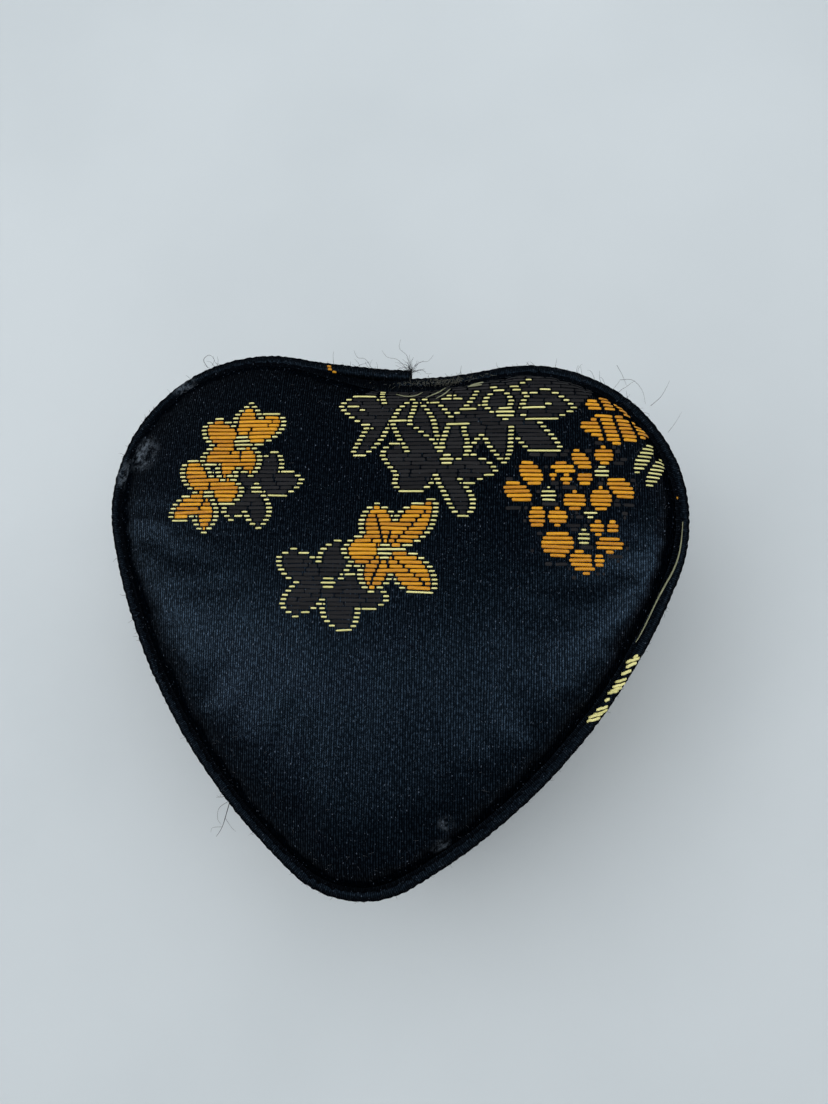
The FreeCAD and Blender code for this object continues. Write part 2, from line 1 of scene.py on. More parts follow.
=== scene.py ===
"""Looks of the heart-shaped trinket box: padded satin brocade lid, piping, lined inside.

Lengths are in metres in the shared frame: X across the heart, Y from the tip to the cleft, Z up. Places come
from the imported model. Cloth pieces carry their weave coordinates in a UV map: U runs along the weft rows
and V along the warp ribs, both in millimetres.
"""

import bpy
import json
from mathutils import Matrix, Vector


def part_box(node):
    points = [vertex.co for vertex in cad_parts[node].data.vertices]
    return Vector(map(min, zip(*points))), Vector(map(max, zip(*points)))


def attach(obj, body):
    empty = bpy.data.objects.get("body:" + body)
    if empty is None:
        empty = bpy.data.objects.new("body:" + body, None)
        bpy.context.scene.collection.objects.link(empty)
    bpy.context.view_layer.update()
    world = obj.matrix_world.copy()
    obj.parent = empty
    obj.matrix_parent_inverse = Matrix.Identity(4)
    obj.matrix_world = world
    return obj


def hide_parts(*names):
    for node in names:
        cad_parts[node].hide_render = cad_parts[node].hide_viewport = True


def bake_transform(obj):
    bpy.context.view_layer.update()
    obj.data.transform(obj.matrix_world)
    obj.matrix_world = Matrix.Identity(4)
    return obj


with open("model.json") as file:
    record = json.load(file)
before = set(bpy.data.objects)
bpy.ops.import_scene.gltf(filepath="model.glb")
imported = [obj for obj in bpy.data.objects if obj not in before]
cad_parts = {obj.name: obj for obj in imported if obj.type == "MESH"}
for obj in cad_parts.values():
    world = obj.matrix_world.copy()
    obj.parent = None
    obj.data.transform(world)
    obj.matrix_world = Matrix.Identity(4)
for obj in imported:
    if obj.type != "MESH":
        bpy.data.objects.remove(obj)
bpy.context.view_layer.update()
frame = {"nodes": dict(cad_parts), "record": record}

import copy
import json
import math
import random

import bpy
import numpy as np
from mathutils import Matrix, Vector
from mathutils.bvhtree import BVHTree
from mathutils.geometry import delaunay_2d_cdt

MM = 0.001
SCENE = bpy.context.scene

# ---------------------------------------------------------------- measurements from the frame


def low(node, axis):
    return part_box(node)[0][axis]


def high(node, axis):
    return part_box(node)[1][axis]


HALF_WIDTH = round(high("lid_welt_cover", 0), 4)
HALF_LENGTH = round(high("lid_welt_cover", 1), 4)
HINGE = Vector(frame["record"]["behaviour"]["joints"][0]["pos_m"])
WELT_RADIUS = (high("lid_welt_cover", 2) - low("lid_welt_cover", 2)) / 2
LID_WELT_Z = low("lid_welt_cover", 2) + WELT_RADIUS
BASE_WELT_Z = low("base_welt_cover", 2) + WELT_RADIUS
LID_RIM_Z = low("lid_wall_cover", 2)
LID_SHOULDER_Z = high("lid_wall_cover", 2)
BASE_RIM_Z = high("base_wall_cover", 2)
FLOOR_Z = low("base_wall_cover", 2)
PANEL_SEAM_Z = low("lid_top_cover", 2)
PANEL_TOP_Z = high("lid_top_cover", 2)
NECK_TOP_Z = high("neck_lining", 2)
CUSHION_TOP_Z = high("floor_satin", 2)
CEILING_Z = low("ceiling_satin", 2)
MIRROR_Z = low("lid_mirror", 2)


def inset_of(node):
    """How far inside the welts' outer edge a node's outline lies."""
    return HALF_WIDTH - high(node, 0)


WALL_INSET = inset_of("base_wall_cover")
PANEL_INSET = inset_of("lid_top_cover")
CUSHION_INSET = inset_of("floor_satin")
LID_LINING_INSET = inset_of("lid_wall_lining")
CEILING_INSET = inset_of("ceiling_satin")
MIRROR_INSET = inset_of("lid_mirror")
TRIM_INSET = inset_of("mirror_trim")
NECK_LINING_INSET = inset_of("neck_lining")
NECK_INSET = inset_of("floor_card")

# ---------------------------------------------------------------- the heart outline

# radii and depth as shares of half the width
LOBE_RADIUS = 0.54 * HALF_WIDTH
LOBE_X = HALF_WIDTH - LOBE_RADIUS
LOBE_Y = HALF_LENGTH - LOBE_RADIUS
TIP_RADIUS = 0.34 * HALF_WIDTH
TIP_Y = TIP_RADIUS - HALF_LENGTH
FLANK_RADIUS = 2.06 * HALF_WIDTH
CLEFT_DEPTH = 0.064 * HALF_WIDTH
CLEFT_RADIUS = (LOBE_X**2 + (LOBE_RADIUS - CLEFT_DEPTH) ** 2 - LOBE_RADIUS**2) / (2 * CLEFT_DEPTH)


def half_heart_arcs():
    """The right half from cleft to tip: centre x and y, radius, start and end angle, +1 if it bulges out."""
    span = math.hypot(LOBE_X, LOBE_Y - TIP_Y)
    to_lobe, to_tip = FLANK_RADIUS - LOBE_RADIUS, FLANK_RADIUS - TIP_RADIUS
    along = (to_lobe**2 - to_tip**2 + span**2) / (2 * span)
    aside = math.sqrt(to_lobe**2 - along**2)
    ex, ey = -LOBE_X / span, (TIP_Y - LOBE_Y) / span
    flank_x = LOBE_X + along * ex + aside * ey
    flank_y = LOBE_Y + along * ey - aside * ex
    lobe_end = math.atan2(LOBE_Y - flank_y, LOBE_X - flank_x)
    tip_start = math.atan2(TIP_Y - flank_y, -flank_x)
    cleft_y = LOBE_Y + math.sqrt((LOBE_RADIUS + CLEFT_RADIUS) ** 2 - LOBE_X**2)
    lobe_start = math.atan2(cleft_y - LOBE_Y, -LOBE_X)
    return [
        (0, cleft_y, CLEFT_RADIUS, -math.pi / 2, lobe_start - math.pi, -1),
        (LOBE_X, LOBE_Y, LOBE_RADIUS, lobe_start, lobe_end, 1),
        (flank_x, flank_y, FLANK_RADIUS, lobe_end, tip_start, 1),
        (0, TIP_Y, TIP_RADIUS, tip_start, -math.pi / 2, 1),
    ]


def sample_heart(step):
    """Points clockwise round the outline from the middle of the cleft, as rows of x, y and outward normal."""
    half = []
    for centre_x, centre_y, radius, start, end, outward in half_heart_arcs():
        count = max(2, round(abs(end - start) * radius / step))
        for number in range(count):
            angle = start + (end - start) * number / count
            across, up = math.cos(angle), math.sin(angle)
            half.append((centre_x + radius * across, centre_y + radius * up, outward * across, outward * up))
    tip = (0.0, -HALF_LENGTH, 0.0, -1.0)
    left = [(-x, y, -nx, ny) for x, y, nx, ny in reversed(half[1:])]
    return np.array([*half, tip, *left])


def heart_loop(heart, inset):
    return heart[:, :2] - inset * heart[:, 2:]


def arc_positions(heart):
    """Distance round the outline to each point, with the full length at the end."""
    closed = np.vstack([heart[:, :2], heart[:1, :2]])
    return np.concatenate([[0], np.cumsum(np.linalg.norm(np.diff(closed, axis=0), axis=1))])


HEART = sample_heart(0.5 * MM)
HEART_ARC = arc_positions(HEART)
GIRTH = HEART_ARC[-1]

# ---------------------------------------------------------------- mesh helpers


def add_object(name, vertices, faces, material, body=None, replaced=(), slot=None, smooth=True):
    mesh = bpy.data.meshes.new(name)
    mesh.from_pydata([tuple(map(float, v)) for v in vertices], [], faces)
    mesh.update()
    piece = bpy.data.objects.new(name, mesh)
    SCENE.collection.objects.link(piece)
    piece.data.materials.append(material)
    if smooth:
        mesh.polygons.foreach_set("use_smooth", [True] * len(mesh.polygons))
    if body:
        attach(piece, body)
    if replaced:
        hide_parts(*replaced)
    return piece


def set_weave(piece, per_loop):
    """Stores weave coordinates, one pair in millimetres per face corner."""
    layer = piece.data.uv_layers.new(name="weave")
    layer.data.foreach_set("uv", np.asarray(per_loop, np.float32).ravel())


def loop_vertices(piece):
    corners = np.empty(len(piece.data.loops), np.int32)
    piece.data.loops.foreach_get("vertex_index", corners)
    return corners


def vertex_positions(piece):
    positions = np.empty(len(piece.data.vertices) * 3)
    piece.data.vertices.foreach_get("co", positions)
    return positions.reshape(-1, 3)


def move_vertices(piece, positions):
    piece.data.vertices.foreach_set("co", positions.ravel())
    piece.data.update()


def grid_face(row, column, after, beside, width):
    """The square between rows row and after, and columns column and beside, of a grid width columns wide."""
    return (row * width + column, row * width + beside, after * width + beside, after * width + column)


def ring_piece(name, profile, material, rise=None, **options):
    """Sweeps a closed profile of (inset, z) round the heart. rise(loop, levels) may change the levels."""
    rows = len(profile)
    count = len(HEART)
    vertices = []
    for inset, level in profile:
        loop = heart_loop(HEART, inset)
        levels = np.full(count, level)
        if rise is not None:
            levels = rise(loop, levels)
        vertices.extend(np.column_stack([loop, levels]))
    along = [0.0]
    for number in range(rows):
        (i0, z0), (i1, z1) = profile[number], profile[(number + 1) % rows]
        along.append(along[-1] + math.hypot(i1 - i0, z1 - z0))
    faces, weave = [], []
    for row in range(rows):
        after = (row + 1) % rows
        for column in range(count):
            beside = (column + 1) % count
            faces.append(grid_face(row, column, after, beside, count))
            u0, u1 = HEART_ARC[column] / MM, HEART_ARC[column + 1] / MM
            v0, v1 = along[row] / MM, along[row + 1] / MM
            weave.extend([(u0, v0), (u1, v0), (u1, v1), (u0, v1)])
    piece = add_object(name, vertices, faces, material, **options)
    set_weave(piece, weave)
    return piece


def rounded(profile, radius, steps=4):
    """A closed profile with its corners rounded."""
    result = []
    count = len(profile)
    for number in range(count):
        corner = Vector(profile[number])
        before = Vector(profile[number - 1]) - corner
        after = Vector(profile[(number + 1) % count]) - corner
        reach = min(radius, before.length / 2.2, after.length / 2.2)
        start = corner + before.normalized() * reach
        end = corner + after.normalized() * reach
        for step in range(steps + 1):
            t = step / steps
            result.append(tuple((1 - t) ** 2 * start + 2 * t * (1 - t) * corner + t**2 * end))
    return result


def tube_mesh(points, radius, sides, bump=None, closed=False):
    """Vertices, faces and corner weave of a tube.

    radius is one number or one per point, and bump(distance, angle) may add to it.
    """
    points = [Vector(p) for p in points]
    count = len(points)
    radii = [radius] * count if isinstance(radius, (int, float)) else [float(value) for value in radius]
    vertices, travelled = [], [0.0]
    side = None
    for number, point in enumerate(points):
        after = points[(number + 1) % count] if closed else points[min(number + 1, count - 1)]
        before = points[number - 1] if closed or number else points[0]
        forward = (after - before).normalized()
        if side is None:
            side = forward.cross(Vector((0, 0, 1)))
            side = side.normalized() if side.length > 1e-6 else Vector((1, 0, 0))
        side = (side - forward * side.dot(forward)).normalized()
        top = side.cross(forward)
        for k in range(sides):
            angle = 2 * math.pi * k / sides
            reach = radii[number] + (bump(travelled[-1], angle) if bump else 0)
            vertices.append(point + reach * (math.cos(angle) * side + math.sin(angle) * top))
        travelled.append(travelled[-1] + (after - point).length)
    faces, weave = [], []
    rounds = count if closed else count - 1
    for number in range(rounds):
        after = (number + 1) % count
        for k in range(sides):
            beside = (k + 1) % sides
            faces.append(
                (number * sides + k, after * sides + k, after * sides + beside, number * sides + beside)
            )
            around = 2 * math.pi * radii[number] / sides / MM
            u0, u1 = travelled[number] / MM, travelled[number + 1] / MM
            weave.extend([(u0, k * around), (u1, k * around), (u1, (k + 1) * around), (u0, (k + 1) * around)])
    if not closed:
        for start, order in ((0, 1), ((count - 1) * sides, -1)):
            cap = [start + k for k in range(sides)][::order]
            faces.append(tuple(cap))
            weave.extend([(travelled[-1] / MM, 0.0)] * sides)
    return vertices, faces, weave


def join_meshes(parts):
    """Several (vertices, faces, weave) as one."""
    vertices, faces, weave = [], [], []
    for part_vertices, part_faces, part_weave in parts:
        offset = len(vertices)
        vertices.extend(part_vertices)
        faces.extend(tuple(index + offset for index in face) for face in part_faces)
        weave.extend(part_weave)
    return vertices, faces, weave


def mesh_piece(name, part, material, **options):
    vertices, faces, weave = part
    piece = add_object(name, vertices, faces, material, **options)
    set_weave(piece, weave)
    return piece


# ---------------------------------------------------------------- material helpers


class Nodes:
    """Short ways to add nodes to the tree of a material or of the world."""

    def __init__(self, owner):
        owner.use_nodes = True
        self.tree = owner.node_tree

    def node(self, kind, inputs=None, **settings):
        made = self.tree.nodes.new(kind)
        for key, value in settings.items():
            setattr(made, key, value)
        for key, value in (inputs or {}).items():
            self.set(made.inputs[key], value)
        return made

    def set(self, socket, value):
        if isinstance(value, bpy.types.NodeSocket):
            self.tree.links.new(value, socket)
        elif isinstance(value, tuple) and len(value) == 3 and socket.type == "RGBA":
            socket.default_value = (*value, 1)
        else:
            socket.default_value = value

    def maths(self, operation, a, b=0.0):
        return self.node("ShaderNodeMath", {0: a, 1: b}, operation=operation).outputs[0]

    def times(self, a, b):
        return self.maths("MULTIPLY", a, b)

    def plus(self, a, b):
        return self.maths("ADD", a, b)

    def graded(self, value, start, end, low_level, high_level):
        """low_level where the value is start, changing evenly to high_level where it is end."""
        inputs = {0: value, 1: start, 2: end, 3: low_level, 4: high_level}
        return self.node("ShaderNodeMapRange", inputs).outputs[0]


class Shader(Nodes):
    """A material with the textures that its surface is made from."""

    def __init__(self, name):
        self.material = bpy.data.materials.new(name)
        super().__init__(self.material)
        self.bsdf = self.tree.nodes["Principled BSDF"]

    def principled(self, **inputs):
        for key, value in inputs.items():
            self.set(self.bsdf.inputs[key.replace("_", " ")], value)

    def mix(self, factor, a, b):
        mixed = self.node("ShaderNodeMix", data_type="RGBA")
        self.set(mixed.inputs["Factor"], factor)
        self.set(mixed.inputs["A"], a)
        self.set(mixed.inputs["B"], b)
        return mixed.outputs["Result"]

    def weave(self):
        return self.node("ShaderNodeUVMap", uv_map="weave").outputs[0]

    def place(self):
        return self.node("ShaderNodeTexCoord").outputs["Object"]

    def stretched(self, vector, scale, turn=0.0):
        inputs = {"Vector": vector, "Scale": scale, "Rotation": (0, 0, turn)}
        return self.node("ShaderNodeMapping", inputs).outputs[0]

    def noise(self, vector, scale, detail=2.0, rough=0.5):
        inputs = {"Vector": vector, "Scale": scale, "Detail": detail, "Roughness": rough}
        return self.node("ShaderNodeTexNoise", inputs).outputs["Fac"]

    def ramp(self, factor, start, end):
        """0 below start and 1 above end, with a soft step between."""
        inputs = {"Value": factor, "From Min": start, "From Max": end}
        return self.node("ShaderNodeMapRange", inputs, interpolation_type="SMOOTHSTEP").outputs[0]

    def wave(self, value, pitch):
        """A sine from 0 to 1 with this pitch, in the value's own unit."""
        turns = self.maths("SINE", self.times(value, 2 * math.pi / pitch))
        return self.plus(self.times(turns, 0.5), 0.5)

    def bump(self, height, distance, strength=1.0):
        inputs = {"Height": height, "Distance": distance, "Strength": strength}
        return self.node("ShaderNodeBump", inputs).outputs[0]


COLD, WARM = (0.38, 0.65, 1.0), (1.0, 0.8, 0.75)  # colours of the shine
DUST_ON_NAVY, RUBBED_NAVY = (0.12, 0.15, 0.2), (0.2, 0.24, 0.29)


def satin(name, dark, light, rib, gloss=0.3, specular=0.27, tint=COLD, relief=0.5, lint=0.5, spots=()):
    """Warp-faced satin, ribs along V rib mm apart: real and painted broken highlights, dust, rubbed spots."""
    shader = Shader(name)
    weave = shader.weave()
    split = shader.node("ShaderNodeSeparateXYZ", {0: weave})
    across = split.outputs[0]
    wander = shader.noise(shader.stretched(weave, (0.25, 0.05, 1)), 1.0)
    ribs = shader.wave(shader.plus(across, shader.times(wander, rib * 1.5)), rib)
    floats = shader.noise(shader.stretched(weave, (1.0 / rib, 0.6 / rib, 1)), 1.0, 4.0, 0.75)
    patches = shader.noise(weave, 0.07, 3.0)
    broken = shader.plus(shader.times(shader.ramp(floats, 0.43, 0.66), 0.92), 0.08)
    threads = shader.times(shader.maths("POWER", ribs, 1.6), broken)
    patchiness = shader.plus(shader.times(patches, 1.6), 0.1)
    # lighter along the broken rib crests: partly the weave's own texture, partly a painted highlight
    colour = shader.mix(shader.times(threads, patchiness), dark, light)
    speck = shader.ramp(shader.noise(shader.stretched(weave, (3.4, 1.9, 1)), 1.0, 1.0), 0.69, 0.76)
    colour = shader.mix(shader.times(speck, lint), colour, DUST_ON_NAVY)
    for centre, reach in spots:
        gap = shader.node("ShaderNodeVectorMath", {0: shader.place(), 1: centre}, operation="DISTANCE")
        near = shader.ramp(gap.outputs["Value"], reach, reach * 0.2)
        smear = shader.ramp(shader.noise(shader.place(), 900.0, 5.0, 0.75), 0.42, 0.7)
        amount = shader.times(shader.times(near, smear), 0.5)
        colour = shader.mix(amount, colour, RUBBED_NAVY)
    height = shader.plus(shader.times(ribs, 0.6), floats)
    rough = shader.plus(gloss, shader.times(floats, 0.15))
    edge_on = shader.node("ShaderNodeLayerWeight", {"Blend": 0.5}).outputs["Facing"]
    face_on = shader.ramp(edge_on, 0.5, 0.05)
    shine = shader.plus(shader.times(threads, 2.4), 0.15)
    shine = shader.times(shader.times(shine, face_on), specular)
    tangent = shader.node("ShaderNodeTangent", direction_type="UV_MAP", uv_map="weave").outputs[0]
    shader.principled(Base_Color=colour, Roughness=rough, Normal=shader.bump(height, 0.05 * MM, relief))
    shader.principled(Specular_IOR_Level=shine, Specular_Tint=tint, Anisotropic=0.8, Tangent=tangent)
    return shader.material


def floss(name, dark, light, rough=0.42, specular=0.3):
    """Silky weft thread: fine fibres along U, and a shade of its own for each float."""
    shader = Shader(name)
    weave = shader.weave()
    fibres = shader.noise(shader.stretched(weave, (0.7, 14.0, 1)), 1.0, 3.0, 0.65)
    shade = shader.node("ShaderNodeAttribute", attribute_name="shade").outputs["Fac"]
    amount = shader.plus(shader.times(fibres, 0.8), shader.times(shade, 0.2))
    colour = shader.mix(shader.ramp(amount, 0.2, 0.75), dark, light)
    tangent = shader.node("ShaderNodeTangent", direction_type="UV_MAP", uv_map="weave").outputs[0]
    shader.principled(Base_Color=colour, Roughness=rough, Normal=shader.bump(fibres, 0.05 * MM, 0.7))
    shader.principled(Specular_IOR_Level=specular, Anisotropic=0.5, Tangent=tangent)
    return shader.material


def speckled(name, dark, light, scale, rough=0.9, grain=0.05):
    """Board, felt or paper: two tones of fine fibre."""
    shader = Shader(name)
    fibre = shader.noise(shader.place(), scale, 6.0, 0.7)
    blotch = shader.noise(shader.place(), scale / 12, 2.0)
    amount = shader.plus(shader.times(fibre, 0.7), shader.times(blotch, 0.3))
    colour = shader.mix(shader.ramp(amount, 0.35, 0.65), dark, light)
    shader.principled(Base_Color=colour, Roughness=rough, Normal=shader.bump(fibre, grain * MM, 0.8))
    return shader.material


def looking_glass():
    shader = Shader("mirror_glass")
    haze = shader.noise(shader.place(), 60.0, 4.0)
    rough = shader.times(shader.ramp(haze, 0.45, 0.8), 0.12)
    shader.principled(Base_Color=(0.86, 0.9, 0.9), Metallic=1.0, Roughness=shader.plus(rough, 0.02))
    return shader.material


TABLE_DARK, TABLE_LIGHT = (0.56, 0.605, 0.63), (0.61, 0.655, 0.68)


def table_top():
    shader = Shader("table_top")
    broad = shader.noise(shader.place(), 9.0, 4.0)
    fine = shader.noise(shader.place(), 300.0, 3.0)
    colour = shader.mix(shader.ramp(broad, 0.3, 0.7), TABLE_DARK, TABLE_LIGHT)
    rough = shader.plus(shader.times(fine, 0.2), 0.55)
    shader.principled(Base_Color=colour, Roughness=rough)
    return shader.material


# dark and light tone of each cloth, and how matt and how shiny the threads are
NAVY_DARK, NAVY_LIGHT = (0.0002, 0.0005, 0.0011), (0.0027, 0.005, 0.0085)
WELT_DARK, WELT_LIGHT = (0.0006, 0.001, 0.0018), (0.006, 0.0085, 0.0115)
RED_DARK, RED_LIGHT = (0.14, 0.004, 0.01), (0.42, 0.02, 0.035)
SMUDGES = (  # rubbed, dusty spots: where, and how far each reaches
    ((-0.0430, 0.0245, 0.0445), 0.0040),
    ((-0.0475, 0.0215, 0.0410), 0.0035),
    ((-0.0395, 0.0390, 0.0405), 0.0030),
    ((0.0147, -0.0316, 0.0445), 0.0018),
    ((0.0142, -0.0354, 0.0425), 0.0022),
)
BROCADE = satin("navy_brocade", NAVY_DARK, NAVY_LIGHT, 0.385, spots=SMUDGES)
WELT_SATIN = satin(
    "navy_welt", WELT_DARK, WELT_LIGHT, 0.31, gloss=0.45, specular=0.22, relief=0.6, spots=SMUDGES
)
LINING = satin("red_lining", RED_DARK, RED_LIGHT, 0.22, specular=0.7, tint=WARM, lint=0.0)
ORANGE = floss("orange_floss", (0.37, 0.12, 0.002), (0.79, 0.37, 0.008))
GREEN = floss("green_floss", (0.5, 0.47, 0.16), (0.9, 0.84, 0.37))
CHARCOAL = floss("charcoal_floss", (0.005, 0.005, 0.0058), (0.0215, 0.021, 0.0225), rough=0.6, specular=0.07)
GOLD = floss("gold_cord", (0.3, 0.17, 0.03), (0.78, 0.56, 0.2), rough=0.35)
FUZZ = floss("dark_fuzz", (0.006, 0.007, 0.01), (0.03, 0.032, 0.04), rough=0.7, specular=0.1)
DUST = floss("pale_dust", (0.04, 0.045, 0.055), (0.2, 0.22, 0.25), rough=0.8)
LINT = floss("grey_lint", (0.05, 0.05, 0.04), (0.26, 0.26, 0.21), rough=0.8)
LINT_THREAD = floss("worn_thread", (0.14, 0.15, 0.09), (0.5, 0.5, 0.3), rough=0.6)
GREYBOARD = speckled("greyboard", (0.2, 0.19, 0.17), (0.42, 0.4, 0.36), 900.0)
FELT = speckled("black_felt", (0.006, 0.006, 0.008), (0.035, 0.035, 0.04), 2200.0, grain=0.2)
MIRROR = looking_glass()

# ---------------------------------------------------------------- padded cloth

SIM_SCALE = 10  # the cloth solver works on a model this many times larger
SIM_FRAMES = 20


def heart_sheet(name, inset, spacing, level, material):
    """A flat heart of near-equal triangles. Returns it and the numbers of its edge vertices."""
    edge = heart_loop(sample_heart(spacing), inset)
    inner = heart_loop(sample_heart(spacing), inset + 0.7 * spacing)
    row_gap = spacing * math.sqrt(0.75)
    grid = []
    rows = int(2 * HALF_LENGTH / row_gap) + 2
    for row in range(rows):
        y = -HALF_LENGTH + row * row_gap
        shift = 0.5 * spacing * (row % 2)
        for left, right in row_spans(inner, y):
            first = math.ceil((left - shift) / spacing)
            last = math.floor((right - shift) / spacing)
            grid.extend((k * spacing + shift, y) for k in range(first, last + 1))
    flat = [Vector(p) for p in [*edge, *grid]]
    border = [(k, (k + 1) % len(edge)) for k in range(len(edge))]
    points, _, faces, *_ = delaunay_2d_cdt(flat, border, [], 1, 1e-7)
    vertices = [(p.x, p.y, level) for p in points]
    faces = [tuple(face) for face in faces]
    piece = add_object(name, vertices, faces, material)
    return piece, list(range(len(edge)))


def row_spans(polygon, y):
    """Where the row at y lies inside a closed polygon, as (left, right) pairs."""
    after = np.roll(polygon, -1, axis=0)
    crosses = (polygon[:, 1] > y) != (after[:, 1] > y)
    a, b = polygon[crosses], after[crosses]
    xs = np.sort(a[:, 0] + (y - a[:, 1]) / (b[:, 1] - a[:, 1]) * (b[:, 0] - a[:, 0]))
    return list(zip(xs[0::2], xs[1::2]))


def depth_inside(points):
    """How far each x, y lies inside the welts' outer edge."""
    batch = 400  # points at a time, to save memory
    depths = []
    for start in range(0, len(points), batch):
        gaps = points[start : start + batch, None, :2] - HEART[None, :, :2]
        nearest = np.argmin((gaps**2).sum(-1), axis=1)
        chosen = gaps[np.arange(len(nearest)), nearest]
        depths.append(-(chosen * HEART[nearest, 2:]).sum(-1))
    return np.concatenate(depths)


def lift_dome(piece, inset, edge_level, shoulder_level, top_level, shoulder):
    """Raises a flat sheet to a dome that climbs over the width of its shoulder, then stays level."""
    positions = vertex_positions(piece)
    depth = np.clip((depth_inside(positions) - inset) / shoulder, 0, 1)
    arch = np.sqrt(np.clip(1 - (1 - depth) ** 2, 0, 1))
    positions[:, 2] = edge_level + (top_level - edge_level) * arch
    step = np.clip(depth * 40, 0, 1)
    positions[:, 2] += (shoulder_level - edge_level) * step * (1 - arch)
    move_vertices(piece, positions)


def inflate(piece, pinned, pressure, slack, cap):
    """Lets the sheet swell like cloth sewn down at its edge, then eases it back if it rose more than cap."""
    start = vertex_positions(piece)
    piece.data.vertices.foreach_set("co", (start * SIM_SCALE).ravel())
    piece.vertex_groups.new(name="sewn").add(pinned, 1.0, "REPLACE")
    modifier = piece.modifiers.new("Cloth", "CLOTH")
    cloth = modifier.settings
    cloth.quality = 6
    cloth.mass = 0.3
    cloth.tension_stiffness = cloth.compression_stiffness = 40
    cloth.shear_stiffness = 15
    cloth.bending_stiffness = 0.6
    cloth.use_pressure = True
    cloth.uniform_pressure_force = pressure
    cloth.shrink_min = -slack
    cloth.vertex_group_mass = "sewn"
    cloth.effector_weights.gravity = 0
    modifier.collision_settings.use_collision = False
    modifier.point_cache.frame_end = SIM_FRAMES
    for number in range(1, SIM_FRAMES + 1):
        SCENE.frame_set(number)
    evaluated = piece.evaluated_get(bpy.context.evaluated_depsgraph_get())
    moved = np.empty(len(start) * 3)
    evaluated.data.vertices.foreach_get("co", moved)
    moved = moved.reshape(-1, 3) / SIM_SCALE
    piece.modifiers.remove(modifier)
    piece.vertex_groups.clear()
    SCENE.frame_set(1)
    shift = moved - start
    shift *= min(1, cap / np.linalg.norm(shift, axis=1).max())
    move_vertices(piece, start + shift)


def bake_modifier(piece, kind, **settings):
    """Applies a modifier for good."""
    modifier = piece.modifiers.new(kind.title(), kind)
    for key, value in settings.items():
        setattr(modifier, key, value)
    evaluated = piece.evaluated_get(bpy.context.evaluated_depsgraph_get())
    mesh = bpy.data.meshes.new_from_object(evaluated)
    piece.modifiers.remove(modifier)
    piece.data = mesh


def pucker(piece, inset, size, reach, seed):
    """Small gathers, up to about size high, that fade out within reach of the sewn edge."""
    rng = random.Random(seed)
    waves = [(rng.uniform(0.9, 2.6), rng.uniform(0, 6.28), rng.uniform(0.4, 1.0)) for _ in range(7)]
    positions = vertex_positions(piece)
    every = 4  # the nearest point of the outline is looked for among every fourth
    gaps = positions[:, None, :2] - HEART[None, ::every, :2]
    nearest = np.argmin((gaps**2).sum(-1), axis=1) * every
    arc = HEART_ARC[nearest] / MM
    depth = (depth_inside(positions) - inset) / reach
    fade = np.clip(depth * 4, 0, 1) * np.exp(-np.clip(depth, 0, None) * 2.2)
    ripple = sum(weight * np.sin(arc * rate + phase) for rate, phase, weight in waves) / 3
    positions[:, 2] += size * ripple * fade
    move_vertices(piece, positions)


def turned(points, angle):
    across, up = math.cos(angle), math.sin(angle)
    return points @ np.array([[across, -up], [up, across]]).T


def weave_from_above(piece, turn):
    """Weave coordinates of a sheet seen from above, the cloth turned by an angle."""
    flat = turned(vertex_positions(piece)[:, :2], -turn) / MM
    set_weave(piece, flat[loop_vertices(piece)])


def draw_in_at_cleft(piece, inset, amount):
    """Pulls the edge in where the piping's ends crowd the cleft."""
    along, across = 8 * MM, 3 * MM  # how far the pull is felt beside the cleft and towards the middle
    positions = vertex_positions(piece)
    near = np.exp(-((positions[:, 0] / along) ** 2)) * (positions[:, 1] > 0)
    edge = np.exp(-np.clip(depth_inside(positions) - inset, 0, None) / across)
    positions[:, 1] -= amount * near * edge
    move_vertices(piece, positions)


def finish_pad(pad, turn, body, replaced):
    """Gives a swollen sheet its thickness, its weave and its place in the model."""
    bake_modifier(pad, "SOLIDIFY", thickness=0.3 * MM, offset=-1)
    weave_from_above(pad, turn)
    pad.data.polygons.foreach_set("use_smooth", [True] * len(pad.data.polygons))
    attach(pad, body)
    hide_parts(*replaced)
    return pad


CLOTH_TURN = math.radians(3.5)  # how far the lid's cloth is turned on the box


def lid_panel():
    """The padded top, sewn down where it meets the piping."""
    seam = PANEL_INSET - 0.3 * MM
    panel, edge = heart_sheet("lid_panel", seam, 1.4 * MM, PANEL_SEAM_Z, BROCADE)
    level = PANEL_SEAM_Z - 0.35 * MM
    lift_dome(
        panel, seam, edge_level=level, shoulder_level=level + 0.9 * MM, top_level=PANEL_TOP_Z - 0.6 * MM,
        shoulder=12 * MM,
    )
    inflate(panel, edge, pressure=0.8, slack=0.006, cap=1.4 * MM)
    bake_modifier(panel, "SUBSURF", levels=1, render_levels=1)
    pucker(panel, seam, size=0.16 * MM, reach=5 * MM, seed=3)
    draw_in_at_cleft(panel, seam, amount=0.8 * MM)
    return finish_pad(panel, CLOTH_TURN, "lid", ("lid_top_cover", "lid_wadding"))


# ---------------------------------------------------------------- woven flowers

WEFT_PITCH = 0.69  # mm between rows of floats
CELL = 0.05  # mm: how finely a row is laid out
GROUND, FILL_ORANGE, FILL_CHARCOAL, LINE_GREEN = range(4)


def petal_outline(x, y, angle, start, length, width, blunt=0.85):
    """A petal from start to start + length out from x, y, in mm and degrees. A small blunt rounds the tip."""
    heading = math.radians(angle)
    ts = np.linspace(0, 1, 60)
    half = width / 2 * (1 - (2 * ts**1.15 - 1) ** 2).clip(0) ** blunt
    axis = np.array([math.cos(heading), math.sin(heading)])
    side = np.array([-axis[1], axis[0]])
    spine = np.array([x, y]) + np.outer(start + ts * length, axis)
    return np.vstack([spine + half[:, None] * side, (spine - half[:, None] * side)[-2:0:-1]])


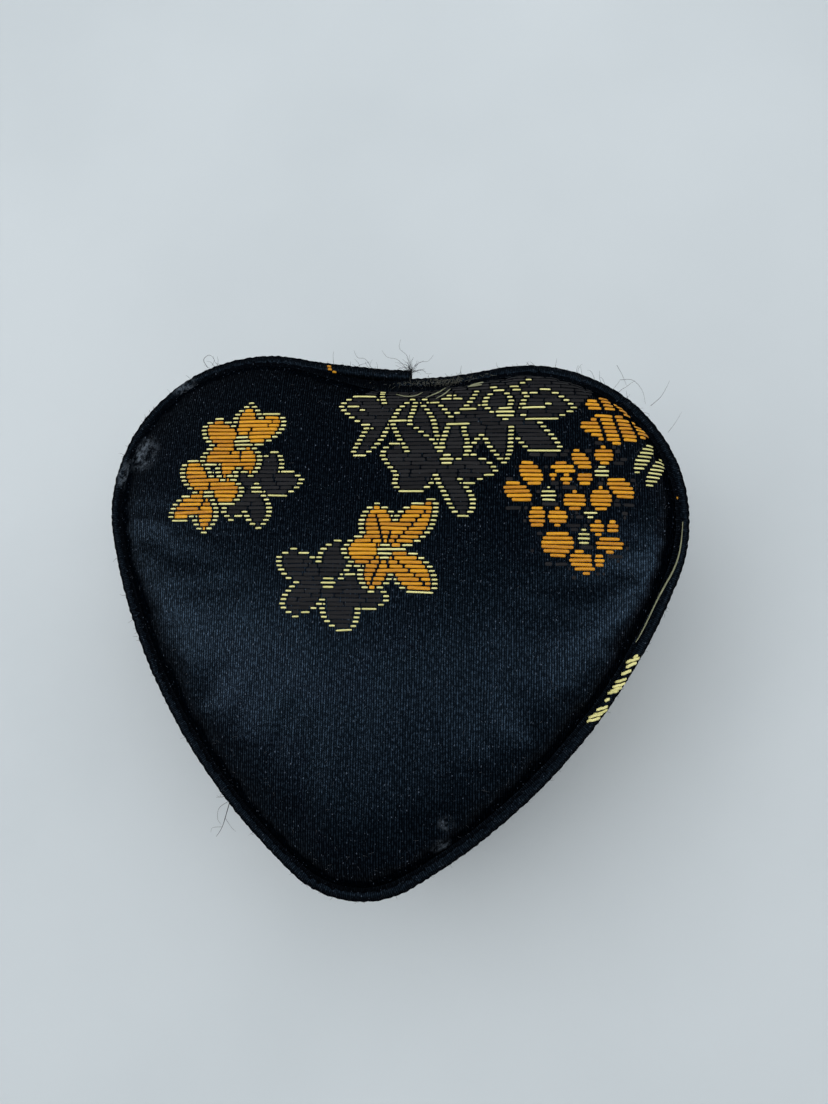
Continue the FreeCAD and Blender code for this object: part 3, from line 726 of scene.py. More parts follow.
def oval(x, y, length, width, angle):
    around = np.linspace(0, 2 * math.pi, 48, endpoint=False)
    ring = np.column_stack([length / 2 * np.cos(around), width / 2 * np.sin(around)])
    return turned(ring, math.radians(angle)) + [x, y]


def smooth_line(points, closed=False):
    """A smooth line through a few points."""
    knots = np.array(points, float)
    if closed:
        knots = np.vstack([knots[-1:], knots, knots[:2]])
    else:
        knots = np.vstack([2 * knots[0] - knots[1], knots, 2 * knots[-1] - knots[-2]])
    t = np.linspace(0, 1, 24, endpoint=False)[:, None]
    bends = []
    for a, b, c, d in zip(knots, knots[1:], knots[2:], knots[3:]):
        bends.append(b + 0.5 * t * (c - a + t * (2 * a - 5 * b + 4 * c - d + t * (3 * (b - c) + d - a))))
    return np.vstack(bends)


class Flower:
    """Petals round a centre, each as angle, length, width and perhaps bluntness, in degrees and mm.

    centre is the width and height of the pale middle, gap how far out the petals start, and ribs puts a dark
    fold down each petal.
    """

    def __init__(self, x, y, petals, fill=FILL_ORANGE, outlined=True, centre=(2.0, 2.4), gap=0.0, ribs=True):
        self.x, self.y = x, y
        self.petals = petals
        self.fill = fill
        self.outlined = outlined
        self.centre = centre
        self.gap = gap
        self.ribs = ribs

    def folds(self):
        """Dark lines from the centre: between petals, and down the middle of each if it has ribs."""
        if self.fill != FILL_ORANGE or self.gap:
            return []
        petals = sorted(self.petals)
        lines = [(angle, 0.8 * length) for angle, length, *_ in petals] if self.ribs else []
        for (angle, length, *_), (after, after_length, *_) in zip(petals, petals[1:] + petals[:1]):
            between = (angle + (after - angle) % 360 / 2) % 360
            lines.append((between, 0.42 * min(length, after_length)))
        return lines

    def moved(self, across, up):
        twin = copy.copy(self)
        twin.x, twin.y = self.x + across, self.y + up
        return twin


def inside(polygon, points):
    """Which points lie inside a closed polygon."""
    after = np.roll(polygon, -1, axis=0)
    x, y = points[:, :1], points[:, 1:]
    crosses = (polygon[None, :, 1] > y) != (after[None, :, 1] > y)
    with np.errstate(divide="ignore", invalid="ignore"):
        share = (y - polygon[:, 1]) / (after[:, 1] - polygon[:, 1])
        crossing = polygon[:, 0] + share * (after[:, 0] - polygon[:, 0])
    return (crosses & (x < crossing)).sum(1) % 2 == 1


BOUND_WIDTH = 0.26  # mm: a dark line where floats are bound down
GREEN_MARGIN = 0.12  # mm: dark gap at each end of a green dash


class Cloth:
    """Rows of weft laid out over a rectangle of cloth, in mm."""

    def __init__(self, left, right, bottom, top):
        self.left = left
        self.columns = int((right - left) / CELL) + 1
        self.first = math.floor(bottom / WEFT_PITCH)
        self.rows = np.zeros((math.ceil(top / WEFT_PITCH) - self.first + 1, self.columns), np.int8)

    def level(self, row):
        return (row + self.first + 0.5) * WEFT_PITCH

    def paint(self, row, left, right, label):
        if 0 <= row < len(self.rows):
            first = max(0, round((left - self.left) / CELL))
            last = min(self.columns, round((right - self.left) / CELL))
            if last > first:
                self.rows[row, first:last] = label

    def fill(self, polygon, label, bare=0.0):
        """Rows of one colour inside a closed shape. bare is the share left as broken, missing floats."""
        rng = random.Random(int(1000 * polygon[0, 0]))
        low_row = math.floor(polygon[:, 1].min() / WEFT_PITCH) - self.first
        high_row = math.floor(polygon[:, 1].max() / WEFT_PITCH) - self.first
        for row in range(low_row, high_row + 1):
            for left, right in row_spans(polygon, self.level(row)):
                while left < right:
                    end = right if not bare else min(right, left + rng.uniform(0.8, 3.5))
                    if rng.random() >= bare:
                        self.paint(row, left, end - (0.3 if bare else 0), label)
                    left = end

    def stroke(self, points):
        """A dashed line through a few points."""
        line = smooth_line(points)
        self.dashes(line, np.ones(len(line), bool))

    def dashes(self, polygon, visible, shortest=1.1):
        """One short float per row along an outline, longer where the outline lies flat."""
        rows = np.floor(polygon[:, 1] / WEFT_PITCH).astype(int) - self.first
        start = 0
        count = len(polygon)
        while start < count:
            end = start
            while end + 1 < count and rows[end + 1] == rows[start] and visible[end + 1] == visible[start]:
                end += 1
            if visible[start]:
                xs = polygon[start : end + 1, 0]
                middle, half = (xs.min() + xs.max()) / 2, max(shortest, xs.max() - xs.min()) / 2
                bare = half + GREEN_MARGIN
                self.paint(rows[start], middle - bare, middle + bare, GROUND)
                self.paint(rows[start], middle - half, middle + half, LINE_GREEN)
            start = end + 1

    def straight_gap(self, x0, y0, x1, y1, width=BOUND_WIDTH):
        """A straight dark line across the floats."""
        low_row, high_row = sorted((math.floor(y0 / WEFT_PITCH), math.floor(y1 / WEFT_PITCH)))
        for row in range(low_row, high_row + 1):
            y = (row + 0.5) * WEFT_PITCH
            if abs(y1 - y0) > 0.5:
                x = x0 + (x1 - x0) * min(1, max(0, (y - y0) / (y1 - y0)))
                self.paint(row - self.first, x - width / 2, x + width / 2, GROUND)

    def gap(self, line, width=BOUND_WIDTH):
        """A dark line across the floats, along many close points."""
        rows = np.floor(line[:, 1] / WEFT_PITCH).astype(int) - self.first
        for row in range(rows.min(), rows.max() + 1):
            xs = line[rows == row, 0]
            if len(xs):
                self.paint(row, xs.min() - width / 2, xs.max() + width / 2, GROUND)

    def flower(self, flower):
        outlines = [
            petal_outline(flower.x, flower.y, angle, flower.gap, *shape) for angle, *shape in flower.petals
        ]
        for outline in outlines:
            self.fill(outline, flower.fill)
        for angle, reach in flower.folds():
            heading = math.radians(angle)
            if abs(math.sin(heading)) > 0.5:
                tip_x = flower.x + reach * math.cos(heading)
                tip_y = flower.y + reach * math.sin(heading)
                self.straight_gap(flower.x, flower.y, tip_x, tip_y)
        if flower.outlined:
            for number, outline in enumerate(outlines):
                hidden = np.zeros(len(outline), bool)
                for other in outlines[:number] + outlines[number + 1 :]:
                    hidden |= inside(other, outline)
                self.dashes(outline, ~hidden)
        if flower.centre:
            wide, tall = flower.centre
            turn = np.linspace(0, 2 * math.pi, 40, endpoint=False)
            disc = np.column_stack([flower.x + wide / 2 * np.cos(turn), flower.y + tall / 2 * np.sin(turn)])
            self.fill(disc, LINE_GREEN)

    def keep_inside(self, polygon):
        """Clears everything outside a closed polygon."""
        for row in range(len(self.rows)):
            kept = np.zeros(self.columns, bool)
            for left, right in row_spans(polygon, self.level(row)):
                first = max(0, round((left - self.left) / CELL))
                kept[first : max(first, round((right - self.left) / CELL))] = True
            self.rows[row, ~kept] = GROUND

    def runs(self, label):
        """Each float of one colour, as (left, right, level)."""
        found = []
        for row, cells in enumerate(self.rows):
            marks = np.flatnonzero(np.diff(np.concatenate([[0], (cells == label).astype(int), [0]])))
            for first, last in zip(marks[0::2], marks[1::2]):
                if (last - first) * CELL > 0.3:
                    found.append((self.left + first * CELL, self.left + last * CELL, self.level(row)))
        return found


# a float's section, as shares of half its width and of its height
FLOAT_SECTION = ((-1.0, 0.0), (-0.86, 0.55), (-0.4, 0.95), (0.4, 0.95), (0.86, 0.55), (1.0, 0.0))
FLOAT_END = 0.32  # mm over which a float dives into the cloth


def bound_down(left, right, longest, rng):
    """One float as (start, end) pieces, split where a binding thread holds a long one down."""
    pieces = [(left, right)]
    while pieces[-1][1] - pieces[-1][0] > 1.6 * longest:
        start = pieces[-1][0]
        bound = start + longest * rng.uniform(0.5, 1.5)
        pieces[-1:] = [(start, bound - 0.02), (bound + 0.02, right)]
    return pieces


def float_stations(x0, x1, level, slope, bow, place):
    """Places along a float as (point, normal, taper, x), or none where it would leave the surface."""
    stations = []
    steps = max(4, round((x1 - x0) / 0.45) + 2)
    for step in range(steps + 1):
        t = 0.5 - 0.5 * math.cos(math.pi * step / steps)
        x = x0 + (x1 - x0) * t
        point, normal = place(x, level + slope * (x - (x0 + x1) / 2) + bow * math.sin(math.pi * t))
        if point is None:
            return []
        end = min(x - x0, x1 - x, FLOAT_END) / FLOAT_END
        stations.append((point, normal, math.sqrt(max(0.0, 1 - (1 - end) ** 2)), x))
    return stations


def float_part(stations, level, broad, height, lift):
    """Vertices, faces and corner weave of one float."""
    vertices, faces, weave = [], [], []
    for number, (point, normal, taper, _) in enumerate(stations):
        ahead = stations[min(number + 1, len(stations) - 1)][0]
        behind = stations[max(number - 1, 0)][0]
        side = normal.cross((ahead - behind).normalized()).normalized()
        for across, up in FLOAT_SECTION:
            reach = across * broad / 2 * (0.35 + 0.65 * taper) * MM
            rise = (up * height * lift * taper - 0.05 * (1 - taper) - 0.03) * MM
            vertices.append(point + side * reach + normal * rise)
    sides = len(FLOAT_SECTION)
    for number in range(len(stations) - 1):
        a, b = number * sides, (number + 1) * sides
        u0, u1 = stations[number][3], stations[number + 1][3]
        for k in range(sides):
            j = (k + 1) % sides
            faces.append((a + k, b + k, b + j, a + j))
            v0 = FLOAT_SECTION[k][0] * broad / 2 + level
            v1 = FLOAT_SECTION[j][0] * broad / 2 + level
            weave.extend([(u0, v0), (u1, v0), (u1, v1), (u0, v1)])
    last = (len(stations) - 1) * sides
    faces.append(tuple(range(sides)))
    faces.append(tuple(last + k for k in reversed(range(sides))))
    return vertices, faces, weave


def float_mesh(runs, place, width, height, seed, longest):
    """Crowned threads laid on a surface. place(x, y) gives a point and normal; x and y are in mm."""
    rng = random.Random(seed)
    parts, shades = [], []
    for left, right, level in runs:
        for x0, x1 in bound_down(left, right, longest, rng):
            x0 += rng.uniform(-0.04, 0.06)
            x1 -= rng.uniform(-0.04, 0.06)
            slope = rng.gauss(0, 0.018)
            lift = rng.uniform(0.85, 1.15)
            broad = width * rng.uniform(0.9, 1.08)
            bow = rng.uniform(-0.02, 0.02)
            shade = rng.random()
            stations = float_stations(x0, x1, level, slope, bow, place)
            if len(stations) > 2:
                vertices, faces, weave = float_part(stations, level, broad, height, lift)
                weave += [(end, level) for end in (x0, x1) for _ in FLOAT_SECTION]
                parts.append((vertices, faces, weave))
                shades.extend([shade] * len(vertices))
    return join_meshes(parts), shades


def float_piece(name, runs, place, material, body, seed, width=0.62, height=0.2, longest=4.5, slot="brocade"):
    """All floats of one colour as one mesh, each with a shade of its own; sizes are in mm."""
    part, shades = float_mesh(runs, place, width, height, seed, longest)
    if shades:
        piece = mesh_piece(name, part, material, body=body, slot=slot)
        attribute = piece.data.attributes.new("shade", "FLOAT", "POINT")
        attribute.data.foreach_set("value", np.array(shades, np.float32))


def blossom(x, y, angles, reach=4.3, petal=4.0, centre=(2.3, 2.7)):
    """Round petals set off from the centre, with no outline."""
    petals = [(angle, petal, petal * 0.95) for angle in angles]
    return Flower(x, y, petals, outlined=False, centre=centre, gap=reach - petal / 2, ribs=False)


def lid_stars():
    """The single flowers on the lid, in mm from the middle of the heart, back to front."""
    charcoal = {"fill": FILL_CHARCOAL, "ribs": False}
    return [
        Flower(
            -20.1, 20.2,
            ((62, 7.1, 4.4), (12, 7.9, 4.2, 0.8), (-82, 6.8, 4.0), (-137, 6.9, 3.8, 0.6), (134, 5, 3.6)),
            centre=(1.9, 2.0), **charcoal,
        ),
        Flower(
            -28.4, 19.3,
            ((126, 7.3, 4.6, 0.6), (7, 6.0, 4.8), (-94, 6.5, 3.9), (-149, 7.7, 3.8), (50, 4.6, 4.0)),
            centre=(2.0, 2.0), ribs=False,
        ),
        Flower(
            -23.3, 28.4,
            ((80, 7.0, 4.4), (32, 8.2, 4.7, 0.6), (-67, 6.2, 4.2), (-116, 7.2, 4.0), (-154, 7.6, 3.4),
             (157, 7.4, 4.8, 0.55)),
            centre=(2.9, 2.8), ribs=False,
        ),
        Flower(
            -7.0, 4.5,
            ((153, 9.4, 5.0, 0.6), (77, 7.0, 5.2, 0.75), (-16, 10, 5.2, 0.75), (-64, 8.7, 5.6, 0.85),
             (-149, 8.4, 5.0, 0.55)),
            centre=(2.5, 2.1), **charcoal,
        ),
        Flower(
            2.0, 9.7,
            ((105, 7.9, 5.8, 0.65), (46, 11.6, 5.6, 1.05), (-38, 10.2, 5.6, 0.7), (-112, 6.8, 5.0, 0.7),
             (179, 6.8, 5.2, 0.9)),
            centre=(2.6, 2.7),
        ),
    ]


SPRAY = (  # the big charcoal spray at the cleft, cut off by the seam
    (-6.5, 35.0), (-3.0, 37.5), (0.0, 40.0), (10.0, 43.0), (25.0, 44.0), (35.5, 39.5), (33.0, 34.5),
    (29.0, 31.8), (27.2, 31.0), (29.8, 26.8), (24.6, 26.8), (22.0, 29.0), (21.0, 24.8), (18.2, 27.6),
    (16.4, 26.4), (19.3, 23.2), (15.2, 21.4), (16.0, 17.5), (14.5, 15.3), (12.4, 17.4), (9.6, 21.6),
    (7.0, 19.6), (4.2, 19.8), (1.1, 26.0), (4.0, 28.0), (2.0, 31.0), (-1.6, 26.3), (-3.8, 26.2),
    (-2.0, 31.0),
)
SPRAY_LINES = (  # its dashed green lines
    ((0.6, 35.8), (-1.5, 36.8), (-4.2, 36.9), (-6.6, 35.1), (-5.4, 33.4), (-3.2, 31.8),
     (-1.2, 31.0)),  # left petal
    ((-5.6, 35.0), (-3.8, 34.6), (-2.4, 33.9)),
    ((0.0, 38.4), (0.1, 37.0), (0.6, 35.8)),
    ((-2.0, 30.6), (-3.0, 28.6), (-4.0, 26.1), (-2.0, 26.1), (0.2, 28.2), (2.0, 31.6),
     (3.4, 34.6)),  # lower left petal
    ((3.4, 34.6), (5.4, 36.0), (7.6, 34.6), (9.1, 32.2), (9.8, 29.4), (10.4, 27.8)),  # upright petal
    ((6.0, 35.6), (5.6, 33.6), (5.0, 32.0)),
    ((1.6, 32.0), (4.6, 31.8), (6.6, 30.5), (8.2, 29.2), (9.8, 28.2)),
    ((2.4, 31.4), (3.1, 29.8), (4.1, 28.0), (5.0, 26.8)),
    ((3.8, 28.2), (1.5, 27.4), (1.0, 25.8), (2.2, 24.0), (3.4, 22.4), (3.1, 21.0), (4.4, 19.6), (7.2, 19.6),
     (9.0, 20.8), (10.0, 22.6)),  # round petal
    ((10.0, 21.8), (11.5, 19.0), (12.8, 16.6), (14.4, 15.2), (15.7, 16.3), (16.0, 18.2), (15.0, 20.2),
     (13.6, 21.8)),  # bottom petal
    ((12.9, 24.9), (14.6, 25.7), (16.4, 25.6), (18.4, 24.6), (19.6, 23.0), (18.0, 22.3), (16.2, 21.3),
     (14.2, 21.0)),  # right petal
    ((10.6, 27.6), (11.2, 29.6), (11.8, 31.2), (14.2, 31.6), (14.2, 30.2), (14.9, 28.4), (15.0, 26.6),
     (14.6, 25.8)),  # petal between
    ((7.2, 36.0), (9.6, 35.4), (11.2, 33.8), (12.3, 32.4)),
    ((8.4, 35.8), (11.0, 36.0), (12.6, 36.9)),
    ((11.0, 36.8), (14.0, 36.2)),
    ((12.8, 33.6), (14.6, 34.2), (17.4, 34.5), (19.2, 33.4)),
    ((14.4, 34.6), (15.4, 36.0), (16.2, 37.4)),
    ((17.6, 34.6), (17.9, 36.4), (19.6, 37.6), (21.2, 37.0), (22.0, 35.4), (21.6, 34.4)),  # top petal
    ((25.2, 40.0), (23.4, 38.7), (21.6, 38.2), (23.4, 37.4), (24.8, 36.4)),
    ((23.6, 34.0), (24.4, 36.2), (26.6, 37.3), (29.0, 37.1), (30.8, 35.6), (32.2, 34.0), (30.6, 33.0),
     (28.6, 31.9), (26.0, 31.9), (23.6, 32.6)),  # right petal with its fold
    ((23.6, 34.0), (26.2, 34.0), (28.4, 34.8)),
    ((26.4, 31.6), (28.0, 29.8), (29.2, 28.2), (29.9, 26.7), (27.2, 26.5), (24.8, 26.8), (23.6, 28.0),
     (22.0, 29.6)),  # lower right petal
    ((22.0, 30.6), (21.9, 27.6), (21.6, 25.8), (20.9, 24.5), (20.0, 25.5), (18.6, 27.2), (17.2, 29.4),
     (16.2, 28.2), (15.2, 26.8)),  # bottom petal of the upper flower
)
SPRAY_KNOTS = (  # pale middles: x, y, length and width
    (21.0, 33.3, 3.2, 2.6), (11.6, 25.1, 2.4, 1.9), (10.4, 27.1, 2.0, 1.3), (15.0, 27.0, 1.8, 1.3),
    (19.0, 38.6, 2.6, 0.7), (13.2, 31.4, 4.0, 1.3),
)

BUNCH = (  # round orange petals of the bunch on the right: x, y, length, width and angle
    (23.1, 19.5, 5.3, 3.4, -30), (25.2, 22.7, 5.1, 3.6, -50), (30.3, 23.4, 4.4, 2.7, -10),
    (30.8, 21.7, 2.2, 2.0, 0), (28.7, 22.2, 1.6, 1.4, 0), (33.2, 24.9, 4.6, 2.7, -50),
    (33.7, 21.9, 2.9, 2.7, 0), (36.8, 25.8, 3.5, 3.3, -20), (39.3, 20.4, 5.3, 3.4, -35),
    (36.2, 18.5, 3.8, 4.1, 0), (32.1, 18.2, 4.0, 3.3, 0), (26.2, 15.5, 3.1, 4.1, 0),
    (29.4, 15.5, 3.5, 3.2, 0), (29.4, 11.2, 5.6, 4.6, 0), (33.3, 8.3, 4.9, 3.6, -30),
    (35.9, 8.6, 1.9, 2.9, 0), (35.7, 13.8, 2.9, 2.6, 0), (38.0, 13.8, 2.3, 2.8, 0),
    (37.5, 11.2, 4.8, 2.8, 0),
)
BUNCH_KNOTS = (
    (28.0, 19.0, 2.6, 2.8), (36.4, 22.9, 2.6, 2.1), (34.5, 16.1, 2.2, 1.3), (33.5, 12.2, 2.0, 2.8),
)
BUNCH_GROUND = (  # broken dark floats round the petals
    (21.0, 21.5), (25.0, 26.0), (31.0, 27.0), (36.5, 28.8), (41.0, 25.0), (42.4, 19.0), (40.5, 15.5),
    (41.0, 11.0), (36.5, 6.2), (31.0, 6.0), (25.5, 9.5), (24.0, 13.5), (20.5, 18.0),
)
LEAF = (  # the orange leaf behind the bunch, and its dark veins
    (34.0, 35.1), (36.4, 36.4), (40.0, 36.4), (42.8, 33.8), (44.8, 30.4), (42.4, 28.7), (39.0, 27.9),
    (36.0, 28.6), (33.0, 31.0), (35.4, 32.6),
)
LEAF_VEINS = (
    ((35.4, 33.7), (38.5, 33.4), (42.0, 32.6), (44.6, 30.6)), ((36.0, 32.4), (37.2, 28.4)),
    ((38.5, 32.6), (40.0, 28.0)), ((41.3, 32.2), (42.6, 29.0)), ((36.0, 36.2), (37.0, 33.8)),
    ((38.1, 36.4), (39.6, 33.4)), ((40.6, 36.0), (42.0, 33.0)),
)
GREEN_LEAVES = ((43.2, 25.6), (45.1, 23.4))  # the two pale bars beside the bunch


def lay_out_lid():
    """The lid's rows of weft, cut off at the seam."""
    cloth = Cloth(-54, 54, -50, 50)
    for flower in lid_stars():
        cloth.flower(flower)
    cloth.fill(smooth_line(SPRAY, closed=True), FILL_CHARCOAL)
    for line in SPRAY_LINES:
        cloth.stroke(line)
    cloth.fill(smooth_line(BUNCH_GROUND, closed=True), FILL_CHARCOAL, bare=0.55)
    for x, y, length, width, angle in BUNCH:
        cloth.fill(oval(x, y, length + 0.4, width + 0.5, angle), GROUND)
        cloth.fill(oval(x, y, length - 0.3, width - 0.3, angle), FILL_ORANGE)
    for x, y, length, width in SPRAY_KNOTS + BUNCH_KNOTS:
        cloth.fill(oval(x, y, length + 0.3, width, 0), GROUND)
        cloth.fill(oval(x, y, length, width, 0), LINE_GREEN)
    cloth.fill(smooth_line(LEAF, closed=True), FILL_ORANGE)
    for vein in LEAF_VEINS:
        cloth.gap(smooth_line(vein))
    for x, y in GREEN_LEAVES:
        cloth.fill(oval(x, y, 6.2, 2.2, 60), LINE_GREEN)
    seam = turned(heart_loop(HEART, PANEL_INSET + 0.35 * MM), -CLOTH_TURN) / MM
    cloth.keep_inside(seam)
    return cloth


def place_on(piece):
    """place(x, y) for a sheet seen from above, x and y in cloth mm."""
    faces = [tuple(face.vertices) for face in piece.data.polygons]
    tree = BVHTree.FromPolygons([tuple(v) for v in vertex_positions(piece)], faces)

    def place(x, y):
        flat = turned(np.array([[x, y]]), CLOTH_TURN)[0] * MM
        point, normal, _, _ = tree.ray_cast(Vector((flat[0], flat[1], 0.2)), Vector((0, 0, -1)))
        return point, normal

    return place


def weave_floats(prefix, cloth, place, body, seed):
    """Lays the three colours of a cloth's pattern on a surface."""
    float_piece(f"{prefix}_orange", cloth.runs(FILL_ORANGE), place, ORANGE, body, seed, width=0.55)
    dark, pale = cloth.runs(FILL_CHARCOAL), cloth.runs(LINE_GREEN)
    float_piece(f"{prefix}_charcoal", dark, place, CHARCOAL, body, seed + 1, height=0.09, longest=3.0)
    float_piece(f"{prefix}_green", pale, place, GREEN, body, seed + 2, width=0.33, height=0.17)


# ---------------------------------------------------------------- walls


def wall_piece(name, far, rim, rim_inset, body, replaced):
    """Brocade round a wall from its far edge to its rim, where it is turned in over the board."""
    skin = 0.45 * MM
    fold = skin if rim > far else -skin
    outer, inner = WALL_INSET, rim_inset
    behind, under = outer + skin, rim - fold
    corners = [(outer, far), (outer, rim), (inner, rim), (inner, under), (behind, under), (behind, far)]
    profile = rounded(corners, 0.3 * MM)
    return ring_piece(name, profile, BROCADE, body=body, replaced=replaced, slot="brocade")


def wall_place(x, y):
    """place(x, y) on the outside of the wall: x goes clockwise round the heart, y up, both in mm."""
    arc = (x * MM) % GIRTH
    number = int(np.searchsorted(HEART_ARC, arc, side="right")) - 1
    after = (number + 1) % len(HEART)
    t = (arc - HEART_ARC[number]) / max(1e-9, HEART_ARC[number + 1] - HEART_ARC[number])
    here = HEART[number] * (1 - t) + HEART[after] * t
    normal = Vector((here[2], here[3], 0)).normalized()
    point = Vector((here[0], here[1], y * MM)) - normal * WALL_INSET
    return Vector((point.x, point.y, y * MM)), normal


BUNCHES = 8  # round the walls


def wall_pattern():
    """Bunches of flowers spaced round the walls."""
    bunches = []
    spacing = GIRTH / MM / BUNCHES
    for number in range(BUNCHES):
        x = (number + 0.55) * spacing
        up = 13 + 5 * (number % 2)
        five = tuple((18 + 72 * k + 11 * number, 7.6 - (k % 2), 4.6) for k in range(5))
        small = tuple((50 + 72 * k + 23 * number, 6.0, 3.8) for k in range(5))
        bunches.append(Flower(x - 8, up + 7, small, fill=FILL_CHARCOAL, ribs=False, centre=(2.0, 2.0)))
        if number % 2:
            bunches.append(blossom(x + 4, up + 3, (170, 118, 62, -5, -62, -118)))
        else:
            bunches.append(Flower(x, up, five, centre=(2.6, 2.7)))
        bunches.append(Flower(x + 12, up + 14, small, fill=FILL_ORANGE, centre=(2.0, 2.0)))
    return bunches


def weave_walls():
    """The flowers on both walls; those across the pattern's start are drawn at both its ends."""
    girth = GIRTH / MM
    for name, body, bottom, top, seed in (
        ("base_wall", "base", FLOOR_Z, BASE_RIM_Z, 40),
        ("lid_wall", "lid", LID_RIM_Z, LID_SHOULDER_Z, 60),
    ):
        low_z, high_z = bottom / MM + 0.5, top / MM - 0.5
        cloth = Cloth(0, girth, low_z, high_z)
        for flower in wall_pattern():
            for shift in (-girth, 0, girth):
                cloth.flower(flower.moved(shift, 0))
        edge = np.array([[0, low_z], [girth, low_z], [girth, high_z], [0, high_z]])
        cloth.keep_inside(edge)
        weave_floats(name, cloth, wall_place, body, seed)


# ---------------------------------------------------------------- piping

WELT_LAP = 1.8 * MM  # how far the outer end reaches past the middle of the cleft
WELT_TAIL = 9 * MM  # how far the inner end reaches past it, tucked under
WELT_STEP = 0.22 * MM
WELT_SWEEP = 150 * MM  # radius of the outer end's slight bend away from the lobe
TUCK_START, TUCK_LENGTH = 5 * MM, 14 * MM  # where the inner end begins to dive, and over how long
TUCK_IN, TUCK_DOWN = 1.1 * MM, 0.3 * MM


def welt_path(level):
    """From the square outer end past the left lobe, round the heart against the clock, to the tucked end."""
    heart = sample_heart(WELT_STEP)
    loop = heart_loop(heart, WELT_RADIUS)[::-1]
    reach = LOBE_RADIUS - WELT_RADIUS
    lean = math.asin((LOBE_X + WELT_LAP) / (reach + WELT_SWEEP))
    centre_y = LOBE_Y + (reach + WELT_SWEEP) * math.cos(lean)
    steps = int(WELT_SWEEP * lean / WELT_STEP)
    path = []
    for step in range(steps):
        angle = -math.pi / 2 - lean * step / steps
        path.append((WELT_LAP + WELT_SWEEP * math.cos(angle), centre_y + WELT_SWEEP * math.sin(angle), level))
    join_x = path[-1][0]
    first = next(k for k, (x, _) in enumerate(loop) if x < join_x)
    tail = [(x, y) for x, y in loop[:first] if x > -WELT_TAIL]
    around = list(loop[first:]) + tail
    for number, (x, y) in enumerate(around):
        at_end = number > len(around) / 2 and y > LOBE_Y
        tuck = min(1.0, max(0.0, (TUCK_START - x) / TUCK_LENGTH)) if at_end else 0.0
        tuck = tuck * tuck * (3 - 2 * tuck)
        path.append((x, y - TUCK_IN * tuck, level - TUCK_DOWN * tuck))
    return path


def piping(prefix, body, level, seed):
    """Satin cut on the bias round a cord: slanting ribs, small gathers, and two overlapped ends."""
    rng = random.Random(seed)
    waves = [(rng.uniform(0.3, 5.0) / MM, rng.uniform(0, 6.28), rng.uniform(0.3, 1)) for _ in range(12)]
    rib_pitch, rib_height, gather_height, sink = 0.95 * MM, 0.06 * MM, 0.022 * MM, 0.04 * MM
    path = welt_path(level)
    radii = []
    for number in reversed(range(len(path))):  # the inner end gets thin
        radii.append(WELT_RADIUS * 0.95 * min(1.0, 0.6 + number * WELT_STEP / MM / 5))

    def folds(travelled, angle):
        uneven = 1.3 * math.sin(travelled * 0.7 / MM) + 0.9 * math.sin(travelled * 1.9 / MM + angle)
        slant = abs(math.sin(math.pi * travelled / rib_pitch + 0.9 * angle + uneven)) ** 0.7
        gather = sum(weight * math.sin(travelled * rate + phase + angle) for rate, phase, weight in waves)
        return rib_height * slant + gather_height * gather - sink

    part = tube_mesh(path, radii, 20, bump=folds)
    covered = (f"{prefix}_welt_cover", f"{prefix}_welt_cord")
    mesh_piece(f"{prefix}_piping", part, WELT_SATIN, body=body, replaced=covered, slot="welt_satin")
    return path


def place_round(path, radius, slant=0.0):
    """place(x, y) on a tube, and how far along each point of its path is, in mm.

    x runs along the path and y round the tube from the top outwards, both in mm; slant turns them.
    """
    points = np.array(path)
    steps = np.linalg.norm(np.diff(points, axis=0), axis=1)
    travelled = np.concatenate([[0], np.cumsum(steps)]) / MM

    def place(x, y):
        along = x * math.cos(slant) - y * math.sin(slant)
        around = (x * math.sin(slant) + y * math.cos(slant)) * MM / radius
        number = int(np.clip(np.searchsorted(travelled, along), 1, len(points) - 1))
        forward = Vector(points[number] - points[number - 1]).normalized()
        outward = forward.cross(Vector((0, 0, 1)))
        normal = outward * math.sin(around) + Vector((0, 0, 1)) * math.cos(around)
        return Vector(points[number]) + normal * radius, normal

    return place, travelled


def nearest_mark(path, x, y):
    """Number of the point of a path nearest to x, y in mm."""
    gaps = (np.array(path)[:, :2] - [x * MM, y * MM]) ** 2
    return int(np.argmin(gaps.sum(1)))


WELT_FLOAT_RADIUS = WELT_RADIUS * 0.97  # the floats lie a little into the piping's folds
LEAF_FLOATS = "1111.2.1111.1.112"  # along the piping: 1 is a long float, 2 a short one, a dot none
LEAF_START, LEAF_END = (36.3, -14.5), (42.6, -3.1)  # mm
LEAF_SLANT = math.radians(38)


def welt_leaf(path):
    """Slanting floats where the piping's strip crosses a leaf of the pattern."""
    place, travelled = place_round(path, WELT_FLOAT_RADIUS, LEAF_SLANT)
    start = travelled[nearest_mark(path, *LEAF_START)]
    end = travelled[nearest_mark(path, *LEAF_END)]
    across, up = math.cos(LEAF_SLANT), math.sin(LEAF_SLANT)
    rng = random.Random(71)
    runs = []
    for number, kind in enumerate(LEAF_FLOATS):
        if kind == ".":
            continue
        along = start + (end - start) * (number + 0.5) / len(LEAF_FLOATS)
        middle = rng.uniform(0.1, 0.5)
        half = rng.uniform(0.95, 1.3) if kind == "1" else 0.45
        centre_x = along * across + middle * up
        centre_y = middle * across - along * up
        runs.append((centre_x - half, centre_x + half, centre_y))
    float_piece("welt_leaf", runs, place, GREEN, "lid", seed=72, width=0.49, slot="welt_satin")


WELT_SPECKS = (  # x, y and how far round the piping from its top, in mm
    (-12.8, 43.4, 0.2), (-12.5, 43.4, -0.3), (-11.6, 43.2, -0.7), (48.3, 24.2, -1.0), (48.8, 23.1, -0.8),
)


